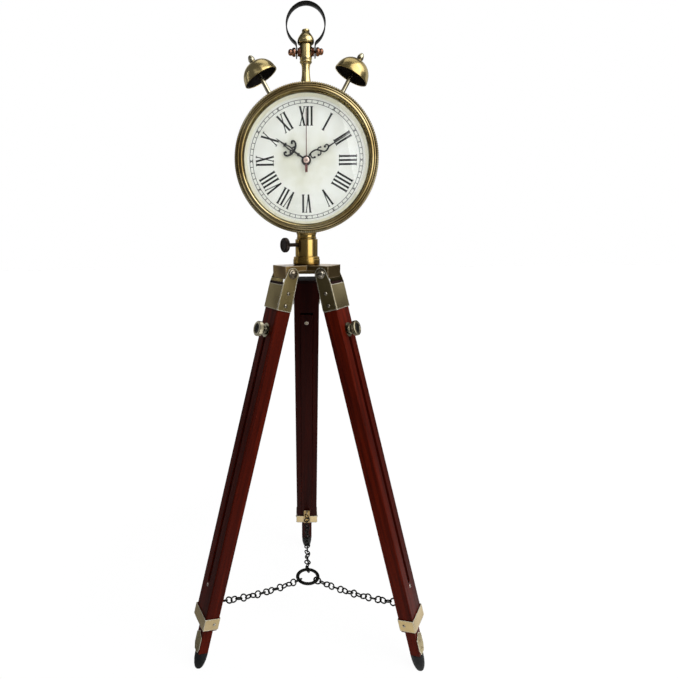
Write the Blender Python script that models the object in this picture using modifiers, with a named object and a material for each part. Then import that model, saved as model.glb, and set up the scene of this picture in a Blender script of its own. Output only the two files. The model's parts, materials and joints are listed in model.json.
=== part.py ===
"""Tripod table clock: a round brass twin-bell clock on a socket column over three folding wooden legs.

Metres, +Z up. The three feet stand on z = 0, the front of the clock looks along -Y, and the origin
lies under the middle of the feet. Each leg has its own empty on the pivot bolt: there X runs along the
bolt, Y points outward from the leg's outer face and Z runs up the leg, so a place "s" down the leg is
Z = -s. The clock has an empty at the middle of its case with X right, Y up and Z towards the viewer.
"""
import math

import bmesh
import bpy
from mathutils import Matrix, Vector

# Clearances and small counts shared by all the pieces
seat_gap = 0.0003
running_gap = 0.0003
cut_overrun = 0.004
weld_distance = 0.00001
screw_merge = 0.00001
fine_steps = 32
medium_steps = 20
coarse_steps = 12
corner_steps = 3

# Legs, measured down the leg from the pivot bolt
leg_azimuths = {"left": math.radians(210), "right": math.radians(330), "rear": math.radians(90)}
leg_tilt = math.radians(15.7)
pivot_radius = 0.0263
foot_end_s = 0.4705
wood_width = 0.0302
wood_depth = 0.0164
wood_top_s = 0.0108
wood_end_s = 0.4145
wood_corner_radius = 0.0016
slider_width = 0.0152
slider_depth = 0.0115
slider_top_s = 0.055
slider_end_s = 0.449
channel_top_s = 0.052
slot_width = 0.0054
slot_end_s = 0.3625
knob_s = 0.0655

# Brass furniture of the legs
brass_sheet = 0.0008
cap_plate_top_s = 0.0135
cap_end_s = 0.041
cap_ear_radius = 0.0068
cap_corner_radius = 0.003
band_top_s = 0.399
band_height = 0.0135
band_corner_radius = 0.0006
pivot_bolt_radius = 0.002
pivot_head_radius = 0.005
pivot_head_height = 0.0026
shoe_width = 0.0142
shoe_top_s = 0.4235
shoe_shoulder_s = 0.4295
shoe_waist_s = 0.4425
shoe_end_s = 0.449
shoe_toe_width = 0.0085

# Leg knob, along the leg's outward axis
knob_stud_radius = 0.002
knob_stud_tip = 0.0008
knob_washer_radius = 0.0078
knob_washer_height = 0.0009
knob_neck_radius = 0.0056
knob_neck_height = 0.0046
knob_disc_radius = 0.00835
knob_disc_height = 0.0062
knob_chamfer = 0.0008
knob_dish_radius = 0.0055
knob_dish_depth = 0.0008

# Rubber foot
foot_radius = 0.0076
foot_height_share = (0.0, 0.28, 0.55, 0.8, 1.05)
foot_radius_share = (1.0, 1.0, 0.93, 0.78, 0.5)
foot_peg_radius = 0.003
foot_peg_length = 0.008
foot_inset = 0.0014

# Chains and their ring
ring_radius = 0.01375
ring_wire_radius = 0.0016
ring_height = 0.0612
link_pitch_wanted = 0.00625
link_wire_radius = 0.0006
link_overlap = 0.0005
link_roll = math.radians(45)
link_steps = 8
link_wire_steps = 4
chain_sag = 0.0045
eye_s = 0.390
eye_radius = 0.0026
eye_wire_radius = 0.0007
eye_plate_thickness = 0.001
eye_plate_width = 0.009
eye_plate_rise = 0.0040

# Three-armed head
head_end_past_pivot = 0.0082
head_top_over_pivot = 0.0085
head_plate_thickness = 0.006
lug_drop = 0.0052
lug_root_radius = 0.0185
lug_corner_radius = 0.003
head_hole_radius = 0.0053

# Socket that holds the clock's spigot
socket_flange_radius = 0.01485
socket_flange_height = 0.0085
socket_radius = 0.0124
socket_height = 0.0276
socket_floor = 0.0036
socket_flange_lip = 0.0007
spigot_radius = 0.0092
spigot_tail_length = 0.0236
collar_radius = 0.0110
collar_height = 0.0072
thumb_azimuth = leg_azimuths["left"]
thumb_height_share = 0.78
thumb_stem_radius = 0.002
thumb_head_radius = 0.0079
thumb_head_thickness = 0.005
thumb_head_start = 0.0245
thumb_neck_radius = 0.0036
thumb_neck_length = 0.003

# Clock case, in the clock's own frame with Z towards the viewer
case_radius = 0.0732
case_wall = 0.0009
case_front = 0.0163
case_back = -0.0220
case_back_lip = 0.0092
case_back_round = 0.0018
bezel_crest = 0.0243
bezel_crest_inset = 0.0046
bezel_lip_front = 0.0226
bezel_width = 0.0087
bezel_bead_overhang = 0.0018
bezel_bead_height = 0.0188
bezel_bead_half = 0.0013
bezel_skirt_back = 0.0113
glass_recess_depth = 0.0031
glass_edge_thickness = 0.0010
glass_rise = 0.0034
glass_seat_cover = 0.0015
dial_front = 0.0120
dial_thickness = 0.0008
dial_rim_width = 0.0025
dial_rim_lip = 0.0007
cover_overlap = 0.0035
cover_plug_length = 0.0030
cover_sheet = 0.0010
cover_rise = 0.0012

# Movement, hands and what turns them
movement_side = 0.056
movement_depth = 0.0152
tube_radius = 0.0039
tube_reach = 0.0016
arbor_radius = 0.0008
nut_wall = 0.0023
nut_height = 0.0011
hand_thickness = 0.0005
hand_pitch = 0.0010
hour_inset = 0.0240
minute_inset = 0.0100
second_inset = 0.0120
second_tail = 0.0120
hour_hub_radius = 0.0042
minute_hub_radius = 0.0038
second_hub_radius = 0.0034
second_hub_height = 0.0016
hour_angle = math.radians(305)
minute_angle = math.radians(60)
battery_radius = 0.0071
battery_length = 0.0495
battery_tip_radius = 0.0026
battery_tip_length = 0.001
battery_drop = 0.0183
set_wheel_radius = 0.006
set_wheel_height = 0.0040
set_wheel_stem_radius = 0.002
set_wheel_stem_length = 0.004

# Bells on their posts
bell_angle = math.radians(29)
bell_rim_rise = 0.0225
bell_radius = 0.0185
bell_height = 0.0166
bell_wall = 0.0010
bell_steps = 7
bell_power = 0.86
post_radius = 0.0023
post_neck_radius = 0.0015
bell_finial_base = 0.0034
bell_finial_top = 0.0019
bell_finial_height = 0.0072

# Crown, bail and finial, heights from the top of the case
crown_height = 0.0408
crown_base_radius = 0.0076
crown_waist_radius = 0.0041
crown_collar_radius = 0.0069
crown_barrel_radius = 0.0060
crown_height_share = (0.0, 0.16, 0.2, 0.24, 0.31, 0.39, 0.47, 0.54, 0.575, 0.605, 0.66, 0.69, 0.70, 1.0)
crown_flare_share = (1.0, 1.0, 0.93, 0.55, 0.22, 0.06, 0.0)
acorn_height = 0.0133
acorn_radius = 0.0084
acorn_tip_radius = 0.0037
acorn_height_share = (0.0, 0.1, 0.24, 0.42, 0.6, 0.76, 0.86, 1.0)
acorn_radius_share = (0.79, 0.94, 1.0, 0.97, 0.83, 0.61, 0.47, 0.44)
bail_pivot_drop = 0.0069
boss_radius = 0.0040
boss_reach = 0.0085
bail_bolt_radius = 0.0015
bail_bolt_past_strap = 0.0034
bail_loop_radius = 0.0196
bail_loop_rise = 0.0251
bail_tail_offset = 0.0095
bail_tail_top_rise = 0.0056
bail_tail_drop = 0.0059
bail_strap = 0.0012
bail_depth = 0.0095
bail_loop_steps = 20
bail_bend_steps = 4
bail_nut_length = 0.0078
bail_nut_radius = 0.0042
bail_nut_depth = 0.0042
bail_nut_height_share = (1.0, 0.95, 0.82, 0.66, 0.6, 0.46, 0.26, 0.08, 0.0)
bail_nut_radius_share = (0.0, 0.36, 0.6, 0.7, 0.72, 0.94, 1.0, 0.93, 0.86)

# Sizes that follow from the ones above
foot_offset = -wood_depth / 2 + slider_depth / 2 - foot_inset
pivot_height = foot_end_s * math.cos(leg_tilt) - foot_offset * math.sin(leg_tilt)
stand_radius = pivot_radius + foot_end_s * math.sin(leg_tilt) + foot_offset * math.cos(leg_tilt)
furniture_width = wood_width + 2 * (seat_gap + brass_sheet)
furniture_depth = wood_depth + 2 * (seat_gap + brass_sheet)
foot_middle_s = slider_end_s + (foot_end_s - slider_end_s) * foot_height_share[2]
foot_outside = foot_offset + foot_radius * foot_radius_share[2]
rear_reach = pivot_radius + foot_middle_s * math.sin(leg_tilt) + foot_outside * math.cos(leg_tilt)
band_end_s = band_top_s + band_height
band_reach = pivot_radius + band_end_s * math.sin(leg_tilt) + furniture_depth / 2 * math.cos(leg_tilt)
front_turn = leg_azimuths["right"] - 2 * math.pi
front_reach = furniture_width / 2 * math.cos(front_turn) - band_reach * math.sin(front_turn)
column_y = (front_reach - rear_reach) / 2
slider_centre = -wood_depth / 2 + slider_depth / 2
head_reach = pivot_radius + head_end_past_pivot
head_top = pivot_height + head_top_over_pivot
socket_base = head_top + seat_gap
socket_top = socket_base + socket_height
spigot_shoulder = socket_top + seat_gap
clock_height = spigot_shoulder + collar_height + case_radius
case_back_opening = case_radius - case_back_lip
bezel_opening = case_radius - bezel_width
bezel_crest_radius = case_radius - bezel_crest_inset
bezel_bead_radius = case_radius + bezel_bead_overhang
bezel_recess_radius = bezel_opening + glass_seat_cover + seat_gap
glass_radius = bezel_recess_radius - seat_gap
glass_front = bezel_lip_front - glass_recess_depth - seat_gap
glass_back = glass_front - glass_edge_thickness
dial_flat_radius = bezel_opening - dial_rim_width
dial_back = dial_front - dial_thickness
cover_radius = case_back_opening + cover_overlap
movement_front = dial_back - seat_gap
tube_end = dial_front + tube_reach
nut_radius = tube_radius + nut_wall
hour_plane = tube_end + seat_gap
minute_plane = hour_plane + hand_pitch
second_plane = minute_plane + hand_pitch
hour_length = dial_flat_radius - hour_inset
minute_length = dial_flat_radius - minute_inset
second_length = dial_flat_radius - second_inset
bell_rim_distance = case_radius + bell_rim_rise
crown_base_z = clock_height + case_radius
crown_top = crown_base_z + crown_height
bail_pivot_z = crown_top - bail_pivot_drop

# Materials: colour, roughness, metallic
finishes = {
    "brass": ((0.46, 0.34, 0.14), 0.32, 1.0),
    "dark_brass": ((0.30, 0.24, 0.13), 0.42, 1.0),
    "copper": ((0.50, 0.27, 0.19), 0.35, 1.0),
    "bronze_black": ((0.05, 0.05, 0.04), 0.45, 0.8),
    "mahogany": ((0.16, 0.02, 0.015), 0.35, 0.0),
    "rubber": ((0.03, 0.03, 0.03), 0.75, 0.0),
    "dial_white": ((0.86, 0.85, 0.78), 0.5, 0.0),
    "hand_black": ((0.02, 0.02, 0.02), 0.4, 0.2),
    "glass": ((0.9, 0.95, 0.95), 0.05, 0.0),
    "black_plastic": ((0.04, 0.04, 0.04), 0.5, 0.0),
    "cell_wrap": ((0.10, 0.12, 0.16), 0.4, 0.3),
}

parts = None
cutters = None
materials = {}


def clear_scene():
    """Empties the scene and makes the two collections."""
    global parts, cutters
    for old in list(bpy.data.objects):
        bpy.data.objects.remove(old, do_unlink=True)
    parts = bpy.data.collections.new("tripod_table_clock")
    cutters = bpy.data.collections.new("cutters")
    bpy.context.scene.collection.children.link(parts)
    bpy.context.scene.collection.children.link(cutters)


def make_materials():
    """One Principled material for each finish."""
    for name, (colour, roughness, metallic) in finishes.items():
        material = bpy.data.materials.new(name)
        material.use_nodes = True
        shader = material.node_tree.nodes["Principled BSDF"]
        shader.inputs["Base Color"].default_value = (*colour, 1.0)
        shader.inputs["Roughness"].default_value = roughness
        shader.inputs["Metallic"].default_value = metallic
        if name == "glass":
            shader.inputs["Transmission Weight"].default_value = 1.0
        materials[name] = material


def empty(name, parent=None, location=(0, 0, 0), rotation=(0, 0, 0)):
    """A frame to place pieces in."""
    frame = bpy.data.objects.new(name, None)
    frame.parent = parent
    frame.location = location
    frame.rotation_euler = rotation
    parts.objects.link(frame)
    return frame


def piece(name, mesh, finish, parent, location=(0, 0, 0), rotation=(0, 0, 0)):
    """A named part of the clock made from a mesh."""
    body = bpy.data.objects.new(name, mesh)
    body.parent = parent
    body.location = location
    body.rotation_euler = rotation
    mesh.materials.clear()
    mesh.materials.append(materials[finish])
    mesh.shade_smooth()
    mesh.set_sharp_from_angle(angle=math.radians(35))
    parts.objects.link(body)
    return body


def cutter(name, mesh, parent, location=(0, 0, 0), rotation=(0, 0, 0)):
    """A hidden shape that a Boolean uses."""
    body = bpy.data.objects.new(name, mesh)
    body.parent = parent
    body.location = location
    body.rotation_euler = rotation
    body.hide_render = True
    body.display_type = "WIRE"
    cutters.objects.link(body)
    return body


def boolean(target, operand, operation):
    """Adds a cut or a join to a piece."""
    change = target.modifiers.new(operation.lower(), "BOOLEAN")
    change.operation = operation
    change.solver = "EXACT"
    change.object = operand


def box_mesh(size, centre=(0, 0, 0)):
    """A box of the given size about a centre."""
    mesh = bpy.data.meshes.new("box")
    shape = bmesh.new()
    bmesh.ops.create_cube(shape, size=1.0)
    bmesh.ops.scale(shape, vec=Vector(size), verts=shape.verts)
    bmesh.ops.translate(shape, vec=Vector(centre), verts=shape.verts)
    shape.to_mesh(mesh)
    shape.free()
    return mesh


def rod_mesh(radius, low, high, axis, across=(0, 0), steps=coarse_steps):
    """A cylinder along X, Y or Z from low to high, through the point across the other two axes."""
    mesh = bpy.data.meshes.new("rod")
    shape = bmesh.new()
    bmesh.ops.create_cone(
        shape, cap_ends=True, segments=steps, radius1=radius, radius2=radius, depth=high - low
    )
    middle = (low + high) / 2
    turn = {"X": Matrix.Rotation(math.pi / 2, 3, "Y"), "Y": Matrix.Rotation(-math.pi / 2, 3, "X")}
    place = {
        "X": (middle, across[0], across[1]),
        "Y": (across[0], middle, across[1]),
        "Z": (across[0], across[1], middle),
    }
    if axis in turn:
        bmesh.ops.rotate(shape, cent=(0, 0, 0), matrix=turn[axis], verts=shape.verts)
    bmesh.ops.translate(shape, vec=Vector(place[axis]), verts=shape.verts)
    shape.to_mesh(mesh)
    shape.free()
    return mesh


def plate_mesh(loops, thickness, across="Z"):
    """A flat outline with holes, filled and given a thickness about its own plane.

    Across "Z" keeps the outline in XY. Across "X" puts the outline's x along Y and its y along Z.
    """
    curve = bpy.data.curves.new("outline", "CURVE")
    curve.dimensions = "2D"
    curve.fill_mode = "BOTH"
    curve.extrude = thickness / 2
    for loop in loops:
        spline = curve.splines.new("POLY")
        spline.points.add(len(loop) - 1)
        for point, (x, y) in zip(spline.points, loop):
            point.co = (x, y, 0, 1)
        spline.use_cyclic_u = True
    holder = bpy.data.objects.new("outline", curve)
    bpy.context.scene.collection.objects.link(holder)
    seen = holder.evaluated_get(bpy.context.evaluated_depsgraph_get())
    mesh = bpy.data.meshes.new_from_object(seen)
    bpy.data.objects.remove(holder, do_unlink=True)
    shape = bmesh.new()
    shape.from_mesh(mesh)
    bmesh.ops.remove_doubles(shape, verts=shape.verts, dist=weld_distance)
    bmesh.ops.recalc_face_normals(shape, faces=shape.faces)
    shape.to_mesh(mesh)
    shape.free()
    if across == "X":
        mesh.transform(Matrix(((0, 0, 1, 0), (1, 0, 0, 0), (0, 1, 0, 0), (0, 0, 0, 1))))
    return mesh


def turned_mesh(profile, closed):
    """The edges of a turned shape's profile, as (radius, height) points."""
    mesh = bpy.data.meshes.new("profile")
    points = [(radius, 0, height) for radius, height in profile]
    edges = [(i, i + 1) for i in range(len(points) - 1)]
    if closed:
        edges.append((len(points) - 1, 0))
    mesh.from_pydata(points, edges, [])
    return mesh


def spin(body, steps):
    """Turns a profile about its own Z axis."""
    screw = body.modifiers.new("turn", "SCREW")
    screw.axis = "Z"
    screw.angle = 2 * math.pi
    screw.steps = steps
    screw.render_steps = steps
    screw.use_merge_vertices = True
    screw.merge_threshold = screw_merge
    screw.use_smooth_shade = True


def turned(name, profile, finish, parent, steps, closed=False, location=(0, 0, 0), rotation=(0, 0, 0)):
    """A turned piece. Its profile runs down its outer side, from the top to the bottom."""
    body = piece(name, turned_mesh(profile, closed), finish, parent, location, rotation)
    spin(body, steps)
    return body


def arc(centre, radius, start, end, steps):
    """Points of an arc, with both ends."""
    angles = [start + (end - start) * i / steps for i in range(steps + 1)]
    return [(centre[0] + radius * math.cos(a), centre[1] + radius * math.sin(a)) for a in angles]


def circle(centre, radius, steps):
    """Points of a full circle."""
    return arc(centre, radius, 0, 2 * math.pi * (steps - 1) / steps, steps - 1)


def rounded_rectangle(half_x, half_y, radius, centre=(0, 0)):
    """An outline with four round corners."""
    points = []
    for turn in range(4):
        start = turn * math.pi / 2
        side_x = 1 if turn in (0, 3) else -1
        side_y = 1 if turn in (0, 1) else -1
        middle = (centre[0] + side_x * (half_x - radius), centre[1] + side_y * (half_y - radius))
        points += arc(middle, radius, start, start + math.pi / 2, corner_steps)
    return points


def stadium(half_width, low, high):
    """A slot's outline: straight sides and round ends, standing along y."""
    top = arc((0, high - half_width), half_width, 0, math.pi, 2 * corner_steps)
    bottom = arc((0, low + half_width), half_width, math.pi, 2 * math.pi, 2 * corner_steps)
    return top + bottom


def make_head(column):
    """The three-armed head: each arm ends in a lug that hangs between a leg's straps."""
    top = head_top
    plate_under = head_top - head_plate_thickness
    lug_under = pivot_height - lug_drop
    corner = (head_reach - lug_corner_radius, lug_under + lug_corner_radius)
    arm = [(-lug_corner_radius, top), (-lug_corner_radius, plate_under), (lug_root_radius, plate_under)]
    arm += [(lug_root_radius, lug_under)]
    arm += arc(corner, lug_corner_radius, -math.pi / 2, 0, corner_steps)
    arm += [(head_reach, top)]
    hole = circle((pivot_radius, pivot_height), pivot_bolt_radius + running_gap, coarse_steps)
    head = None
    for leg, azimuth in leg_azimuths.items():
        mesh = plate_mesh([arm, hole], wood_width, across="X")
        turn = (0, 0, azimuth - math.pi / 2)
        if head is None:
            head = piece("head_plate", mesh, "dark_brass", column, rotation=turn)
        else:
            boolean(head, cutter("head_arm_" + leg, mesh, column, rotation=turn), "UNION")
    drill = rod_mesh(head_hole_radius, plate_under - cut_overrun, top + cut_overrun, "Z", steps=medium_steps)
    boolean(head, cutter("head_hole", drill, column), "DIFFERENCE")


def make_socket(column):
    """The flanged socket over the head, with its stub down through the head."""
    bore = spigot_radius + running_gap
    stub_radius = head_hole_radius - seat_gap
    stub_end = head_top - head_plate_thickness
    profile = [
        (bore, socket_top),
        (socket_radius, socket_top),
        (socket_radius, socket_base + socket_flange_height),
        (socket_flange_radius - socket_flange_lip, socket_base + socket_flange_height),
        (socket_flange_radius, socket_base + socket_flange_height - socket_flange_lip),
        (socket_flange_radius, socket_base),
        (stub_radius, socket_base),
        (stub_radius, stub_end),
        (0, stub_end),
        (0, socket_base + socket_floor),
        (bore, socket_base + socket_floor),
    ]
    start = profile.index((0, socket_base + socket_floor))
    loop = profile[start:] + profile[:start]
    socket = turned("socket_sleeve", loop, "brass", column, medium_steps)
    screw_place = (0, 0, socket_base + socket_height * thumb_height_share)
    screw_frame = empty("thumbscrew_axis", column, screw_place, (0, 0, thumb_azimuth))
    hole = rod_mesh(thumb_stem_radius + running_gap, spigot_radius / 2, socket_radius + cut_overrun, "X")
    boolean(socket, cutter("thumbscrew_hole", hole, screw_frame), "DIFFERENCE")
    return screw_frame


def make_thumbscrew(screw_frame):
    """The knurled screw that clamps the spigot. It is turned about its own length."""
    head_end = thumb_head_start + thumb_head_thickness
    profile = [
        (0, head_end),
        (thumb_head_radius - knob_chamfer, head_end),
        (thumb_head_radius, head_end - knob_chamfer),
        (thumb_head_radius, thumb_head_start + knob_chamfer),
        (thumb_head_radius - knob_chamfer, thumb_head_start),
        (thumb_neck_radius, thumb_head_start),
        (thumb_neck_radius, thumb_head_start - thumb_neck_length),
        (thumb_stem_radius, thumb_head_start - thumb_neck_length),
        (thumb_stem_radius, spigot_radius + seat_gap),
        (0, spigot_radius + seat_gap),
    ]
    turned(
        "socket_thumbscrew", profile, "dark_brass", screw_frame, coarse_steps, rotation=(0, math.pi / 2, 0)
    )


def make_leg_wood(leg, hinge):
    """The leg's wooden body: a channel for the slider inside and a narrow slot for the knob outside."""
    half_w = wood_width / 2
    half_d = wood_depth / 2
    section = [(-half_w, -half_d), (half_w, -half_d)]
    corner_y = half_d - wood_corner_radius
    section += arc((half_w - wood_corner_radius, corner_y), wood_corner_radius, 0, math.pi / 2, corner_steps)
    section += arc(
        (wood_corner_radius - half_w, corner_y), wood_corner_radius, math.pi / 2, math.pi, corner_steps
    )
    mesh = plate_mesh([section], wood_end_s - wood_top_s)
    mesh.transform(Matrix.Translation((0, 0, -(wood_end_s + wood_top_s) / 2)))
    wood = piece(leg + "_body", mesh, "mahogany", hinge)
    channel_width = slider_width + 2 * running_gap
    channel_depth = slider_depth + running_gap
    channel_length = wood_end_s - channel_top_s + cut_overrun
    channel = box_mesh(
        (channel_width, channel_depth + cut_overrun, channel_length),
        (0, -half_d + (channel_depth - cut_overrun) / 2, -channel_top_s - channel_length / 2),
    )
    boolean(wood, cutter(leg + "_channel", channel, hinge), "DIFFERENCE")
    slot_start_s = knob_s - slot_width / 2
    slot = plate_mesh([stadium(slot_width / 2, -slot_end_s, -slot_start_s)], wood_depth)
    slot.transform(Matrix.Rotation(math.pi / 2, 4, "X"))
    boolean(wood, cutter(leg + "_slot", slot, hinge, location=(0, half_d, 0)), "DIFFERENCE")


def make_slider(leg, hinge):
    """The inner leg, which slides in the channel and carries the knob, the shoe and the foot."""
    length = slider_end_s - slider_top_s
    mesh = box_mesh((slider_width, slider_depth, length), (0, slider_centre, -slider_top_s - length / 2))
    slider = piece(leg + "_slider", mesh, "mahogany", hinge)
    peg_low = -slider_end_s - foot_peg_length
    peg_high = -slider_end_s + foot_peg_length / 2
    peg = rod_mesh(foot_peg_radius, peg_low, peg_high, "Z", (0, foot_offset))
    boolean(slider, cutter(leg + "_peg", peg, hinge), "UNION")
    low = slider_centre - slider_depth / 2 - cut_overrun
    high = slider_centre + slider_depth / 2 + cut_overrun
    hole = rod_mesh(knob_stud_radius + running_gap, low, high, "Y", (0, -knob_s))
    boolean(slider, cutter(leg + "_stud_hole", hole, hinge), "DIFFERENCE")


def make_cap(leg, hinge):
    """The bent brass cap: an outer plate and two straps whose ears take the pivot bolt."""
    inner = -wood_depth / 2
    outer = furniture_depth / 2
    profile = arc(
        (inner + cap_corner_radius, cap_corner_radius - cap_end_s),
        cap_corner_radius,
        math.pi,
        3 * math.pi / 2,
        corner_steps,
    )
    profile += [(outer, -cap_end_s), (outer, -cap_plate_top_s)]
    profile += arc((0, 0), cap_ear_radius, 0, math.pi, 2 * corner_steps)
    hole = circle((0, 0), pivot_bolt_radius + running_gap, coarse_steps)
    cap = piece(leg + "_hinge_cap", plate_mesh([profile, hole], furniture_width, across="X"), "brass", hinge)
    depth = furniture_depth + cut_overrun
    height = cap_end_s + cap_ear_radius + 2 * cut_overrun
    space = box_mesh(
        (wood_width + 2 * seat_gap, depth, height),
        (0, wood_depth / 2 + seat_gap - depth / 2, cap_ear_radius + cut_overrun - height / 2),
    )
    boolean(cap, cutter(leg + "_cap_space", space, hinge), "DIFFERENCE")


def make_pivot_bolt(leg, hinge):
    """The bolt through the straps and the lug, with a domed head at each end."""
    seat = furniture_width / 2 + seat_gap
    end = seat + pivot_head_height
    dome = arc((0, 0), 1, math.pi / 2, 0, corner_steps)
    profile = [(pivot_head_radius * x, seat + pivot_head_height * y) for x, y in dome]
    profile[0] = (0, end)
    profile += [(pivot_bolt_radius, seat)]
    mirrored = [(radius, -height) for radius, height in reversed(profile)]
    whole = profile + mirrored
    across = (0, math.pi / 2, 0)
    bolt = turned(leg + "_pivot_bolt", whole, "dark_brass", hinge, coarse_steps, rotation=across)
    return bolt


def make_knob(leg, hinge):
    """The clamp knob with its stud through the slot and the slider."""
    start = wood_depth / 2 + seat_gap
    neck = start + knob_washer_height
    disc = neck + knob_neck_height
    face = disc + knob_disc_height
    tip = -wood_depth / 2 - knob_stud_tip
    profile = [
        (0, face - knob_dish_depth),
        (knob_dish_radius, face - knob_dish_depth),
        (knob_dish_radius + knob_dish_depth, face),
        (knob_disc_radius - knob_chamfer, face),
        (knob_disc_radius, face - knob_chamfer),
        (knob_disc_radius, disc + knob_chamfer),
        (knob_disc_radius - knob_chamfer, disc),
        (knob_neck_radius - knob_chamfer, disc),
        (knob_neck_radius, (disc + neck) / 2),
        (knob_neck_radius - knob_chamfer, neck),
        (knob_washer_radius, neck),
        (knob_washer_radius, start),
        (knob_stud_radius, start),
        (knob_stud_radius, tip),
        (0, tip),
    ]
    turned(
        leg + "_knob",
        profile,
        "brass",
        hinge,
        coarse_steps,
        location=(0, 0, -knob_s),
        rotation=(-math.pi / 2, 0, 0),
    )


def make_band(leg, hinge):
    """The brass band round the foot of the wooden body."""
    outer = rounded_rectangle(furniture_width / 2, furniture_depth / 2, band_corner_radius)
    inner = rounded_rectangle(wood_width / 2 + seat_gap, wood_depth / 2 + seat_gap, band_corner_radius)
    mesh = plate_mesh([outer, inner], band_height)
    piece(leg + "_band", mesh, "brass", hinge, location=(0, 0, -band_top_s - band_height / 2))


def make_shoe(leg, hinge):
    """The pointed brass plate on the slider's outer face, above the foot."""
    half = shoe_width / 2
    toe = shoe_toe_width / 2
    outline = [
        (0, -shoe_top_s),
        (-half, -shoe_shoulder_s),
        (-half, -shoe_waist_s),
        (-toe, -shoe_end_s),
        (toe, -shoe_end_s),
        (half, -shoe_waist_s),
        (half, -shoe_shoulder_s),
    ]
    mesh = plate_mesh([outline], brass_sheet)
    mesh.transform(Matrix.Rotation(math.pi / 2, 4, "X"))
    face = slider_centre + slider_depth / 2 + seat_gap + brass_sheet / 2
    piece(leg + "_shoe_plate", mesh, "brass", hinge, location=(0, face, 0))


def make_foot(leg, hinge, floor):
    """The rubber foot on the slider's peg, cut level where it meets the floor."""
    start = slider_end_s + seat_gap
    length = foot_end_s - start
    socket_radius_here = foot_peg_radius + seat_gap
    socket_end = foot_peg_length + seat_gap
    profile = [(socket_radius_here, 0)]
    profile += [
        (foot_radius * across, -length * along)
        for along, across in zip(foot_height_share, foot_radius_share)
    ]
    profile += [(0, profile[-1][1]), (0, -socket_end), (socket_radius_here, -socket_end)]
    loop = profile[-2:] + profile[:-2]
    foot = turned(
        leg + "_foot", loop, "rubber", hinge, coarse_steps, location=(0, foot_offset, -start)
    )
    boolean(foot, floor, "DIFFERENCE")


def eye_centre():
    """The middle of a leg's chain eye, as (outward, up the leg) in the leg's frame."""
    face = furniture_depth / 2 + seat_gap + eye_plate_thickness
    return -face - eye_radius, -eye_s


def make_chain_eye(leg, hinge):
    """The eye that the chain hooks into: a small plate on the band's inner side with a loop."""
    outward, height = eye_centre()
    plate_face = -furniture_depth / 2 - seat_gap
    top = eye_plate_rise - eye_s
    bottom = -band_end_s
    mesh = box_mesh(
        (eye_plate_width, eye_plate_thickness, top - bottom),
        (0, plate_face - eye_plate_thickness / 2, (top + bottom) / 2),
    )
    plate = piece(leg + "_chain_eye", mesh, "dark_brass", hinge)
    loop = torus_mesh(eye_radius, eye_wire_radius, link_steps, link_wire_steps)
    loop.transform(Matrix.Rotation(math.pi / 2, 4, "Y"))
    boolean(plate, cutter(leg + "_eye_loop", loop, hinge, location=(0, outward, height)), "UNION")


def torus_mesh(radius, wire_radius, steps, wire_steps):
    """A ring of round wire lying in XY."""
    bpy.ops.mesh.primitive_torus_add(
        major_radius=radius, minor_radius=wire_radius, major_segments=steps, minor_segments=wire_steps
    )
    made = bpy.context.active_object
    mesh = made.data
    bpy.data.objects.remove(made, do_unlink=True)
    return mesh


def chain_ends():
    """Both ends of a chain in the plane of its leg, as (radius, height): at the eye and in the ring."""
    outward, height = eye_centre()
    eye = (
        pivot_radius - height * math.sin(leg_tilt) + outward * math.cos(leg_tilt),
        pivot_height + height * math.cos(leg_tilt) + outward * math.sin(leg_tilt),
    )
    inner = ring_radius - ring_wire_radius - link_wire_radius - running_gap
    fall = math.atan2(eye[1] - ring_height, eye[0] - inner)
    shift = eye_radius - eye_wire_radius - link_wire_radius - running_gap
    return (eye[0] - shift * math.cos(fall), eye[1] - shift * math.sin(fall)), (inner, ring_height)


def chain_layout():
    """Where each link of a chain lies: centres and directions, and how many links its outer run has."""
    (start_r, start_z), (end_r, end_z) = chain_ends()
    across = end_r - start_r
    fall = end_z - start_z

    def at(t):
        return Vector((start_r + across * t, start_z + fall * t - 4 * chain_sag * t * (1 - t)))

    def pace(t):
        return Vector((across, fall - 4 * chain_sag * (1 - 2 * t)))

    def onward(t, distance):
        halfway = t + distance / 2 / pace(t).length
        return t + distance / pace(halfway).length

    length = sum(pace((i + 0.5) / medium_steps).length for i in range(medium_steps)) / medium_steps
    count = round(length / link_pitch_wanted)
    pitch = (length + 2 * link_overlap - 2 * link_wire_radius + running_gap) / count
    radius = (pitch - link_overlap) / 2 + link_wire_radius
    outer_count = (count + 1) // 2
    t = onward(0, radius)
    links = []
    for i in range(count):
        links.append((at(t), pace(t).normalized()))
        t = onward(t, pitch - link_overlap - running_gap if i + 1 == outer_count else pitch)
    return links, outer_count, radius


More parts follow.
